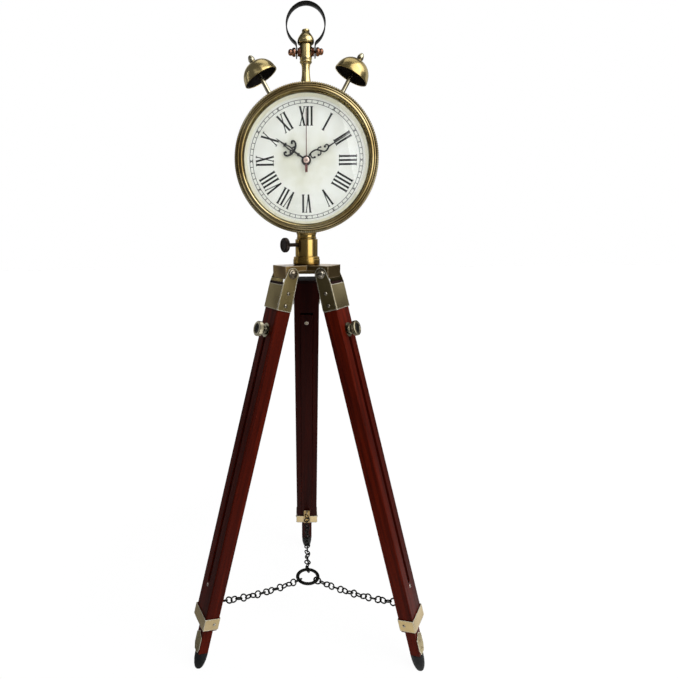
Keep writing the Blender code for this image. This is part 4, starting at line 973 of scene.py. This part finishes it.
def make_bezel():
    """The bezel: chamfered lip darkened as painted shade, low crest, second ring, roped bead and outer edge,
    with a seam below.
    """
    front = bezel_high.z
    outer = bezel_high.x
    crest = arc((0, 0), 1, 0.97 * math.pi, 0.03 * math.pi, 14)
    crest = drawn(crest, front - 0.0007, 0.0675, tall=0.0007, wide=0.0016)
    foot = crest[0][0] - film
    lip = [(bezel_opening, bezel_low.z), (bezel_opening, front - 0.0034)]
    lip += drawn([(65.0, -2.6), (65.7, -1.5)], front)
    lip += [(foot, front - 0.0012), (foot, bezel_low.z)]
    on_clock("bezel_lip", lathe(lip, disc_steps, closed=True), "lip_shade_brass", crease=50)
    ring = [(69.3, -1.5), (69.5, -1.2), (69.8, -0.9), (70.3, -0.8), (70.9, -1.1), (71.3, -1.8), (71.6, -3.0)]
    rope_radius = outer - rope_wire - 0.0003
    rope_height = front - 0.0044
    seat = case_high.z + film * 5
    skirt = case_radius - 0.0012
    profile = [(foot + film, bezel_low.z)] + crest + drawn(ring, front)
    profile += drawn([(0.2, 0), (0, -0.8)], rope_height, rope_radius)
    profile += drawn([(-0.8, -1.4), (-0.5, -2.0)], rope_height, outer)
    profile += [(outer - 0.0009, seat), (skirt, seat), (skirt, bezel_low.z)]
    seam = box_mesh((-0.00014, -0.0722, front - 0.0022), (0.00014, -0.0655, front + 0.002))
    mesh = cut(lathe(profile, disc_steps, closed=True), seam)
    on_clock("bezel_turned", mesh, "case_brass", "clock_bezel", crease=40)

    def wire_at(turn, lean):
        """Strands: the wire swells along slanted lines."""
        return rope_wire * (0.73 - 0.27 * math.cos(rope_strands * turn - lean))

    rope = coil(rope_radius, rope_strands * 6, 12, wire_at, rope_height)
    on_clock("bezel_rope", rope, "rope_brass", crease=60)


def make_glass_dome():
    """The domed glass."""
    edge = 0.0010
    rise = glass_high.z - glass_low.z - edge
    dome = [(i / 12, 1 - (i / 12) ** 2) for i in range(13)]
    front, back = [drawn(dome, up, tall=rise, wide=glass_high.x) for up in (glass_low.z + edge, glass_low.z)]
    on_clock("glass_dome", lathe(front + back[::-1], 128), "glass", "clock_glass")


track_inner = 0.0560
track_outer = 0.0592
track_line = 0.00024
print_low = dial_front + film
print_high = dial_front + film * 4
numeral_stroke = 0.00100
numeral_thin = 0.00048
serif_half = 0.00150
serif_thickness = 0.00080
numerals = ("XII", "I", "II", "III", "IIII", "V", "VI", "VII", "VIII", "IX", "X", "XI")
letter_widths = {"I": 0.0040, "V": 0.0070, "X": 0.0072}


def add_stroke(shape, place, start, end, half):
    """A straight printed stroke between two points."""
    across = left_of((start, end), 0) * half
    start, end = Vector(start), Vector(end)
    outline = (start - across, start + across, end + across, end - across)
    outline = [(place @ point.to_3d()).xy for point in outline]
    add_prism(shape, outline, print_low, print_high)


def add_letter(shape, place, letter, x):
    """One letter of a Roman numeral, standing on y = 0 with its middle at x."""
    tall = numeral_outer - numeral_inner
    base, top = serif_thickness / 2, tall - serif_thickness / 2
    left, right = [x + way * (letter_widths[letter] / 2 - 0.0013) for way in (-1, 1)]
    thick = numeral_stroke * 0.95
    strokes, serifs = {
        "I": ([(x, x, numeral_stroke)], [(x, base, 1.0), (x, top, 1.0)]),
        "V": ([(left, x, thick), (right, x, numeral_thin)], [(left, top, 0.9), (right, top, 0.7)]),
        "X": (
            [(left, right, thick), (right, left, numeral_thin)],
            [(side, end, 0.8) for side in (left, right) for end in (base, top)],
        ),
    }[letter]
    for over, under, half in strokes:
        add_stroke(shape, place, (over, tall), (under, 0), half)
    for middle, height, share in serifs:
        half = serif_half * share
        add_stroke(shape, place, (middle - half, height), (middle + half, height), serif_thickness / 2)


def make_dial():
    """The enamelled dial with its sloping rim, its minute track and its Roman numerals, feet inward."""
    outer = dial_high.x
    profile = [(dial_bore, dial_front), (dial_flat, dial_front), (outer - 0.0007, dial_high.z)]
    profile += [(outer, dial_high.z), (outer, dial_low.z), (dial_bore, dial_low.z)]
    plate = lathe(profile, disc_steps, closed=True)
    on_clock("dial_plate", plate, "dial_white", "clock_dial", crease=20)
    shape = bmesh.new()
    for radius in (track_inner, track_outer):
        add_ring(shape, radius + track_line, radius - track_line, print_low, print_high, 180)
    middle = (track_inner + track_outer) / 2
    half = (track_outer - track_inner) / 2
    for minute in range(60):
        turn = Matrix.Rotation(-2 * math.pi * minute / 60, 4, "Z")
        add_stroke(shape, turn, (0, track_inner), (0, track_outer), track_line * 1.25)
        for reach in (-half, half) if minute % 5 == 0 else ():
            add_stroke(shape, turn, (-reach, middle - half), (reach, middle + half), track_line)
    for hour, numeral in enumerate(numerals):
        turn = Matrix.Rotation(-2 * math.pi * hour / 12, 4, "Z") @ Matrix.Translation((0, numeral_inner, 0))
        widths = [letter_widths[letter] for letter in numeral]
        for i, letter in enumerate(numeral):
            add_letter(shape, turn, letter, sum(widths[:i]) + widths[i] / 2 - sum(widths) / 2)
    on_clock("dial_print", welded(shape), "print")


hour_hand_at = 305
minute_hand_at = 60
hand_bore = 0.0012


def mirrored(line):
    """A line that goes on along its own mirror image."""
    return line + [(-x, y) for x, y in reversed(line)]


def both(line):
    """A line and its mirror image."""
    return [line, [(-x, y) for x, y in line]]


def make_hand(name, degrees, hub, ribbons, dots, plates):
    """A flat hand with its point along +Y. All but the hub's radius is given in millimetres."""
    low, high = span(name, clock)
    thickness = (low.z, high.z)
    shape = bmesh.new()
    add_ring(shape, hub, hand_bore, *thickness)
    for widths, lines in ribbons:
        for line in lines:
            add_ribbon(shape, drawn(line), drawn([widths])[0], *thickness)
    for radius, centres in dots:
        for centre in centres:
            add_prism(shape, drawn(arc(centre, radius, 0, 2 * math.pi, 16)[:-1]), *thickness)
    for outline in plates:
        add_prism(shape, drawn(mirrored(outline)), *thickness)
    place = clock @ Matrix.Rotation(-math.radians(degrees), 4, "Z")
    on_clock(name + "_scrolled", welded(shape), "hand_black", name, place, name + "_body")


def make_hour_hand():
    """The hour hand: a stem with a knop, a pair of C-scrolls, a slit leaf and a tapered point."""
    stem = [(0, 3.8), (0, 10.0), (0, 17.2)]
    scroll = smooth([(0.4, 16.0), (4.0, 16.6), (7.2, 18.6), (8.2, 21.2), (7.0, 23.2), (5.6, 22.6)], 6)
    curl = smooth([(0.6, 19.6), (3.0, 18.2), (4.4, 17.0)], 5)
    leaf = smooth([(0.4, 16.5), (1.3, 20.5), (1.1, 24.0), (0.4, 27.2)], 6)
    ribbons = [((0.9, 0.9), [stem]), ((1.1, 0.7), both(scroll))]
    ribbons += [((0.7, 0.8), both(curl)), ((0.6, 0.6), both(leaf))]
    dots = [(1.2, ((5.6, 22.2), (-5.6, 22.2))), (1.0, ((1.3, 27.0), (-1.3, 27.0)))]
    knop = [(0.8, 8.6), (1.9, 10.0), (0.8, 11.4)]
    tip = [(1.1, 26.2), (1.0, 28.5), (0.7, 31.0), (0.3, 38.0)]
    make_hand("hour_hand", hour_hand_at, 0.0044, ribbons, dots, [knop, tip])


def make_minute_hand():
    """The minute hand: one serpentine line with four curls, then a long fine blade."""
    snake = [(-1.0, 3.0), (-3.4, 6.6), (-4.1, 10.4), (-3.4, 14.2), (-0.6, 17.4), (2.0, 20.0), (2.4, 22.6)]
    snake += [(1.4, 25.0), (0, 26.8)]
    curls = [
        (1.1, [(-3.6, 7.0), (-1.0, 6.2), (1.4, 6.8), (2.0, 9.0)]),
        (1.1, [(-0.6, 17.4), (1.6, 16.6), (2.6, 14.8), (2.0, 13.4)]),
        (0.9, [(-3.0, 15.0), (-4.0, 17.2), (-3.6, 19.2)]),
        (1.2, [(0.4, 26.4), (-1.8, 26.6), (-2.8, 24.8), (-1.8, 23.3)]),
    ]
    ribbons = [((0.7, 0.8), [smooth(snake, 6)]), ((0.7, 0.6), [smooth(line, 5) for ball, line in curls])]
    dots = [(ball, [line[-1]]) for ball, line in curls]
    blade = [(0.9, 26.2), (0.7, 29.0), (0.3, 52.0)]
    make_hand("minute_hand", minute_hand_at, 0.0036, ribbons, dots, [blade])


def make_second_hand():
    """The thin second hand with its flat tail and its bright domed cap."""
    low, high = span("second_hand", clock)
    blade = low.z + 0.0005
    shape = bmesh.new()
    point = [(0.00050, -0.0040), (0.00034, high.y)]
    tail = [(-0.0005, -0.0030), (-0.0013, -0.0044), (-0.0013, low.y)]
    for outline in (point, tail):
        add_prism(shape, mirrored(outline), low.z, blade)
    needle = soften(to_mesh(shape), 0.00006, 1)
    on_clock("second_hand_needle", needle, "hand_red", "second_hand", body="second_hand_body")
    cap = drawn([(0, 0), (3.1, 0), (3.1, 0.5)], blade)
    cap += drawn([(2.7, -0.2), (1.7, 0), (0.9, 0), (0.7, -0.4), (0, -0.4)], high.z)
    on_clock("second_hand_cap", lathe(cap, 40), "cap_bright", body="second_hand_body")


def make_works():
    """The nut over the dial, the movement with its cell, and the setting wheel."""
    low, high = span("hand_nut", clock)
    nut = drawn([(4.0, 0), (5.0, 0)], low.z) + drawn([(5.0, -0.2), (4.8, 0), (4.0, 0)], high.z)
    on_clock("hand_nut_round", lathe(nut, small_steps, closed=True), "knob_face", "hand_nut")
    movement = soften(cad_shape("movement", clock), 0.0005, 2, 40)
    on_clock("movement_case", movement, "black_plastic", "movement", flat=True)
    low, high = span("battery", clock)
    radius = (high.y - low.y) / 2
    profile = [(0, low.x)] + drawn([(-1.2, 0), (0, 1.0)], low.x, radius)
    profile += drawn([(0, -2.2), (-1.4, -1.1)], high.x, radius)
    profile += drawn([(2.7, -1.1), (2.5, 0), (0, 0)], high.x)
    place = clock @ Matrix.Translation((0, (high.y + low.y) / 2, (high.z + low.z) / 2)) @ turned_to("X")
    on_clock("battery_cell", lathe(rounded(profile, 0.0004), 64), "cell_wrap", "battery", place)
    low, high = span("set_wheel", clock)
    radius = high.x
    profile = [(0, high.z), (0.002, high.z), (0.002, low.z + 0.0040)]
    profile += drawn([(0, 4.0), (0, 0.7), (-0.7, 0)], low.z, radius)
    profile += drawn([(0.55, 0), (0.45, 0.6), (0, 0.6)], low.z, wide=radius)
    wheel = lathe(profile, 240, wave=knurl(24, 0.0004, radius - 0.0003))
    on_clock("set_wheel_knurled", wheel, "black_plastic", "set_wheel", body="set_wheel_body", crease=30)


def make_back_cover():
    """The pressed back cover, which plugs into the case."""
    low, high = span("back_cover", clock)
    radius = high.x
    seat = case_low.z - film * 8
    plug = back_opening - play
    face = [(0, 0), (0.30, 0.1), (0.58, 0.4), (0.60, 0.9), (0.64, 1.0), (0.66, 0.4), (0.90, 1.0)]
    profile = drawn(face, low.z, wide=radius) + [(radius * 0.965, seat - 0.0012)]
    profile += drawn([(-0.6, -1.0), (0, -0.5), (-0.1, 0)], seat, radius)
    profile += [(plug, seat), (plug, high.z), (plug - 0.0010, high.z), (plug - 0.0010, seat)]
    profile += [(radius * 0.6, seat - 0.0002), (0, seat - 0.0007)]
    on_clock("back_cover_pressed", lathe(profile, 160), "case_brass", "back_cover", body="cover")


bell_lean = math.radians(29)
bell_wall = 0.0010


def make_bell(side, way):
    """A bell with a rolled rim and a near-black inner skin that paints the shade inside it, its post and its
    finial.
    """
    axis = case_middle @ Matrix.Rotation(way * bell_lean, 4, "Y")
    name = "bell_" + side
    low, high = span(name, axis)
    radius, rim, crown = high.x, low.z, high.z
    steps = 18
    leans = [math.pi / 2 * i / steps for i in range(1, steps + 1)]

    def skin(wide, tall, angles):
        return [(wide * math.sin(a) ** 0.86, rim + tall * math.cos(a)) for a in angles]

    outer = [(r * (0.985 if h > rim + 0.002 else 1.0), h) for r, h in skin(radius, crown - rim, leans)]
    inner = skin(radius - bell_wall * 1.4, crown - rim - bell_wall, leans[-2::-1])
    hole = 0.0018
    profile = [(hole, crown)] + outer + drawn([(0, 0.2), (-0.3, 0)], rim, radius)
    profile += [(radius - bell_wall, rim)] + inner + [(hole, crown - bell_wall)]
    on_clock(name + "_spun", lathe(profile, closed=True), "brass", name, axis)
    # A near-black skin just inside the bell: painted shade in its hollow
    shade_skin = [(radius - bell_wall * 1.02, rim + 0.0003)] + [(r - film * 2, h - film * 2) for r, h in inner]
    shade_skin.append((0.0026, crown - bell_wall - film * 2))
    shade_skin += [(r - film * 4, h - film * 4) for r, h in reversed(shade_skin)]
    on_clock(name + "_lining", lathe(shade_skin, closed=True), "painted_bell_shade", place=axis)
    name = "bell_post_" + side
    tip = span(name, axis)[1].z
    post = 0.0023
    foot = case_radius - 0.0004
    nut = crown + 0.0003
    collar = post * 1.35
    profile = [(0, foot - 0.0010), (collar, foot - 0.0010), (collar, foot + 0.0012), (post, foot + 0.0020)]
    profile += [(post, crown - bell_wall - 0.0003), (0.0015, crown - bell_wall - 0.0002), (0.0015, nut)]
    finial = [(2.5, 0.0), (3.0, 0.12), (3.4, 0.32), (3.3, 0.48), (2.7, 0.70), (1.8, 0.90), (1.0, 0.985)]
    profile += drawn(smooth(finial, 4), nut, tall=tip - nut) + [(0, tip)]
    mesh = out_of_case(lathe(profile, small_steps), axis)
    on_clock(name + "_turned", mesh, "knob_brass", name, axis)


bail_hole = 0.0018
bail_bore = moved(rod(bail_hole, -0.02, 0.02, 32), turned_to("X"))
bail_strap = 0.0012
bail_tail_out = 0.0095
bail_tail_top = 0.0056
bail_tail_end = math.sqrt(0.15)


def make_crown():
    """The turned stem over the case with its bosses, and the acorn finial."""
    low, high = span("crown_stem", column)
    base = arbor.z + case_radius
    flare = [(7.9, -0.06), (7.8, 0.015), (7.0, 0.045), (5.8, 0.10), (4.9, 0.19), (4.3, 0.29), (4.1, 0.38)]
    neck = [(4.2, 0.47), (4.6, 0.53), (5.2, 0.560), (6.0, 0.580), (6.3, 0.597), (6.2, 0.615)]
    collar = [(5.8, 0.628), (6.0, 0.650), (6.4, 0.672), (6.3, 0.690), (6.0, 0.705)]
    outer = smooth(flare + neck, 5) + collar + [(6.0, 0.72), (6.0, 0.98), (5.8, 1.0)]
    profile = [(0, base - 0.002)] + drawn(outer, base, tall=high.z - base) + [(0, high.z)]
    pivot = column.inverted() @ bail_axis
    stem = cut(out_of_case(lathe(profile, 80), column), moved(bail_bore, pivot))
    on_clock("crown_turned", stem, "brass", "crown_stem", column)
    boss = drawn([(1.8, 5.2), (4.6, 5.2), (4.6, 6.6), (3.8, 7.2)])
    boss += drawn([(3.8, -0.8), (4.2, -0.4), (4.2, 0), (1.8, 0)], high.x)
    bosses = [moved(lathe(boss, 40, closed=True), pivot @ turned_to(axis)) for axis in ("X", "-X")]
    on_clock("crown_bosses", joined(bosses), "copper", place=column)
    low, high = span("acorn_finial", column)
    acorn = [(6.2, 0.0), (7.8, 0.02), (8.4, 0.10), (8.5, 0.20), (8.1, 0.36), (7.0, 0.52), (5.6, 0.66)]
    acorn = smooth(acorn + [(4.4, 0.77), (3.7, 0.85)], 5)
    acorn += [(3.6, 0.86), (3.9, 0.885), (3.9, 0.97), (3.5, 1.0)]
    profile = [(0, low.z)] + drawn(acorn, low.z, tall=high.z - low.z)
    profile += drawn([(2.6, 0), (2.2, -0.6), (0, -0.6)], high.z)
    on_clock("acorn_turned", lathe(profile, 80), "brass", "acorn_finial", column)


def bail_line(low, high):
    """The middle line of the bail from the front, from its right tail round the loop to its left."""
    radius = high.x - bail_strap / 2
    rise = high.z - bail_strap / 2 - radius
    climb = rise - bail_tail_top
    spread = radius - bail_tail_out
    reach = (climb * climb + spread * spread) / (2 * spread)
    bend = reach - radius
    end = math.asin(climb / reach)
    right = arc((bail_tail_out + bend, bail_tail_top), bend, math.pi, math.pi - end, 8)[:-1]
    right = [(bail_tail_out, low.z)] + right
    return right + arc((0, rise), radius, -end, math.pi + end, 64) + [(-x, z) for x, z in reversed(right)]


def make_bail():
    """The bail: a flat dark strap, narrower at the ends of its tails, with its bolt and acorn nuts."""
    low, high = span("bail", bail_axis)
    line = bail_line(low, high)
    rings = []
    for i, (x, z) in enumerate(line):
        out = left_of(line, i) * bail_strap / 2
        wide = high.y * (bail_tail_end if i in (0, len(line) - 1) else 1.0)
        signs = ((1, 1), (1, -1), (-1, -1), (-1, 1))
        rings.append([(x + out.x * side, wide * depth, z + out.y * side) for side, depth in signs])
    shape = surface(rings)
    ends = shape.verts[:]
    shape.faces.new(ends[3::-1])
    shape.faces.new(ends[-4:])
    strap = cut(soften(to_mesh(shape), 0.0003, 2, 50), bail_bore)
    on_clock("bail_strap", strap, "bronze_black", "bail", bail_axis, "bail_body")
    low, high = span("bail_bolt", bail_axis)
    bolt = drawn([(0, 0), (1.2, 0), (1.5, 0.3)], low.x) + drawn([(1.5, -0.3), (1.2, 0), (0, 0)], high.x)
    on_clock("bail_bolt_rod", moved(lathe(bolt, 32), turned_to("X")), "copper", "bail_bolt", bail_axis)
    acorn = [(0.86, 0.0), (0.98, 0.10), (1.0, 0.26), (0.90, 0.40), (0.70, 0.50), (0.72, 0.60), (0.74, 0.72)]
    acorn = smooth(acorn + [(0.60, 0.88), (0.30, 0.98)], 4)
    for side, axis in (("left", "-X"), ("right", "X")):
        name = "bail_nut_" + side
        low, high = span(name, bail_axis)
        near, far = sorted((abs(low.x), abs(high.x)))
        profile = drawn([(0, 4.2), (1.8, 4.2), (1.8, 0)], near)
        profile += drawn(acorn, near, tall=far - near, wide=high.z) + [(0, far)]
        on_clock(name + "_turned", moved(lathe(profile, 48), turned_to(axis)), "copper", name, bail_axis)


make_spigot()
make_case()
make_bezel()
make_glass_dome()
make_dial()
make_hour_hand()
make_minute_hand()
make_second_hand()
make_works()
make_back_cover()
make_bell("left", -1)
make_bell("right", 1)
make_crown()
make_bail()


# The stage
ambient_level = 0.12
room_level = 0.09
camera_place = (-0.00514, -0.57720, 0.49990)
camera_tilt_down = math.radians(12.247)
camera_turn = math.radians(1.377)
camera_roll = math.radians(-0.626)


def make_floor():
    """A pale, nearly clear floor: it keeps the shadow, and an inner leg pulled out below it still shows."""
    nodes = new_material("floor")
    rays = nodes.add("LightPath").outputs
    distance = nodes.length(nodes.coordinates)
    # Painted reflection: near the object, and more towards its right, the floor glows for reflected rays only
    near = nodes.times(
        nodes.spread(distance, 1.0, 0.0, 0.22, 0.42),
        nodes.spread(nodes.parts(nodes.coordinates)["X"], 0.05, 1.35, -0.18, 0.02),
    )
    direct = nodes.larger(rays["Is Camera Ray"], rays["Is Transmission Ray"])
    seen = nodes.larger(direct, nodes.times(near, rays["Is Glossy Ray"]))
    tone = nodes.mix(direct, (0.42, 0.42, 0.42), (0.90, 0.90, 0.90))
    nodes.set(base_color=tone, roughness=0.9, specular_ior_level=0.1)
    strength = nodes.times(seen, nodes.spread(distance, 0.58, 1.0, 0.30, 1.0))
    glow = nodes.add("Emission", {"Color": (1.0, 1.0, 1.0), "Strength": strength})
    lit = nodes.add("AddShader", {0: nodes.shader.outputs["BSDF"], 1: glow.outputs["Emission"]})
    open_share = nodes.spread(rays["Is Camera Ray"], 0.0, 0.88, 0.0, 1.0)
    nodes.clear_for(nodes.larger(rays["Is Shadow Ray"], open_share), lit.outputs["Shader"])
    shape = bmesh.new()
    bmesh.ops.create_grid(shape, x_segments=2, y_segments=2, size=6.0)
    floor = in_scene("floor", to_mesh(shape))
    floor.data.materials.append(materials["floor"])


def make_world():
    """White behind the object, a plain level of light on it, and a dimmer room in front of polished metal."""
    world = bpy.data.worlds.new("studio")
    bpy.context.scene.world = world
    world.use_nodes = True
    nodes = Nodes(world.node_tree)
    rays = nodes.add("LightPath").outputs
    towards = nodes.parts(nodes.add("TexCoord").outputs["Generated"])
    room = nodes.spread(towards["Y"], room_level, 1.0, 0.90, 1.0, interpolation_type="SMOOTHSTEP")
    level = nodes.mix(rays["Is Glossy Ray"], ambient_level, room, "FLOAT")
    for name in ("Is Transmission Ray", "Is Camera Ray"):
        level = nodes.mix(rays[name], level, 1.0, "FLOAT")
    background = world.node_tree.nodes["Background"].inputs
    nodes.fill(background["Strength"], level)
    nodes.fill(background["Color"], (1.0, 1.0, 1.0))


def make_lamp(name, azimuth, height, distance, size, power, target_height=0.42):
    """A soft lamp at an azimuth to the right of the camera's side, aimed at the object."""
    light = bpy.data.lights.new(name, "AREA")
    light.shape = "RECTANGLE"
    light.size, light.size_y = size
    light.energy = power
    turn = math.radians(azimuth)
    place = Vector((distance * math.sin(turn), -distance * math.cos(turn), height))
    lamp = in_scene(name, light)
    lamp.location = place
    lamp.rotation_euler = (Vector((0, 0, target_height)) - place).to_track_quat("-Z", "Y").to_euler()


def make_camera():
    """The photograph's viewpoint: close, a little above the stand, looking slightly down."""
    data = bpy.data.cameras.new("camera")
    data.sensor_width = 36.0
    data.lens = 25.532
    data.shift_x = 0.0713
    data.shift_y = -0.0068
    data.clip_start = 0.02
    camera = in_scene("camera", data)
    turn = Matrix.Rotation(camera_turn, 4, "Z")
    tilt = Matrix.Rotation(math.pi / 2 - camera_tilt_down, 4, "X")
    roll = Matrix.Rotation(camera_roll, 4, "Z")
    camera.matrix_world = Matrix.Translation(camera_place) @ turn @ tilt @ roll
    bpy.context.scene.camera = camera


make_floor()
make_world()
make_lamp("key", 38, 1.20, 1.30, (1.3, 2.0), 15.0, 0.55)
make_lamp("upper", 74, 1.50, 1.10, (0.9, 1.0), 4.5, 0.6)
make_lamp("front", -24, 1.30, 1.30, (0.9, 0.35), 0.35)
make_lamp("strip", -92, 0.60, 1.20, (0.10, 1.2), 0.42)
make_lamp("left", -126, 0.55, 1.30, (0.5, 0.8), 0.32)
make_lamp("back", -165, 1.10, 1.30, (1.0, 1.2), 1.4)
make_lamp("right", 128, 1.10, 1.30, (1.2, 1.2), 1.8)
make_lamp("above", 150, 1.95, 0.18, (1.1, 0.8), 2.0, 0.55)
make_camera()
bpy.context.scene.view_settings.view_transform = "Standard"
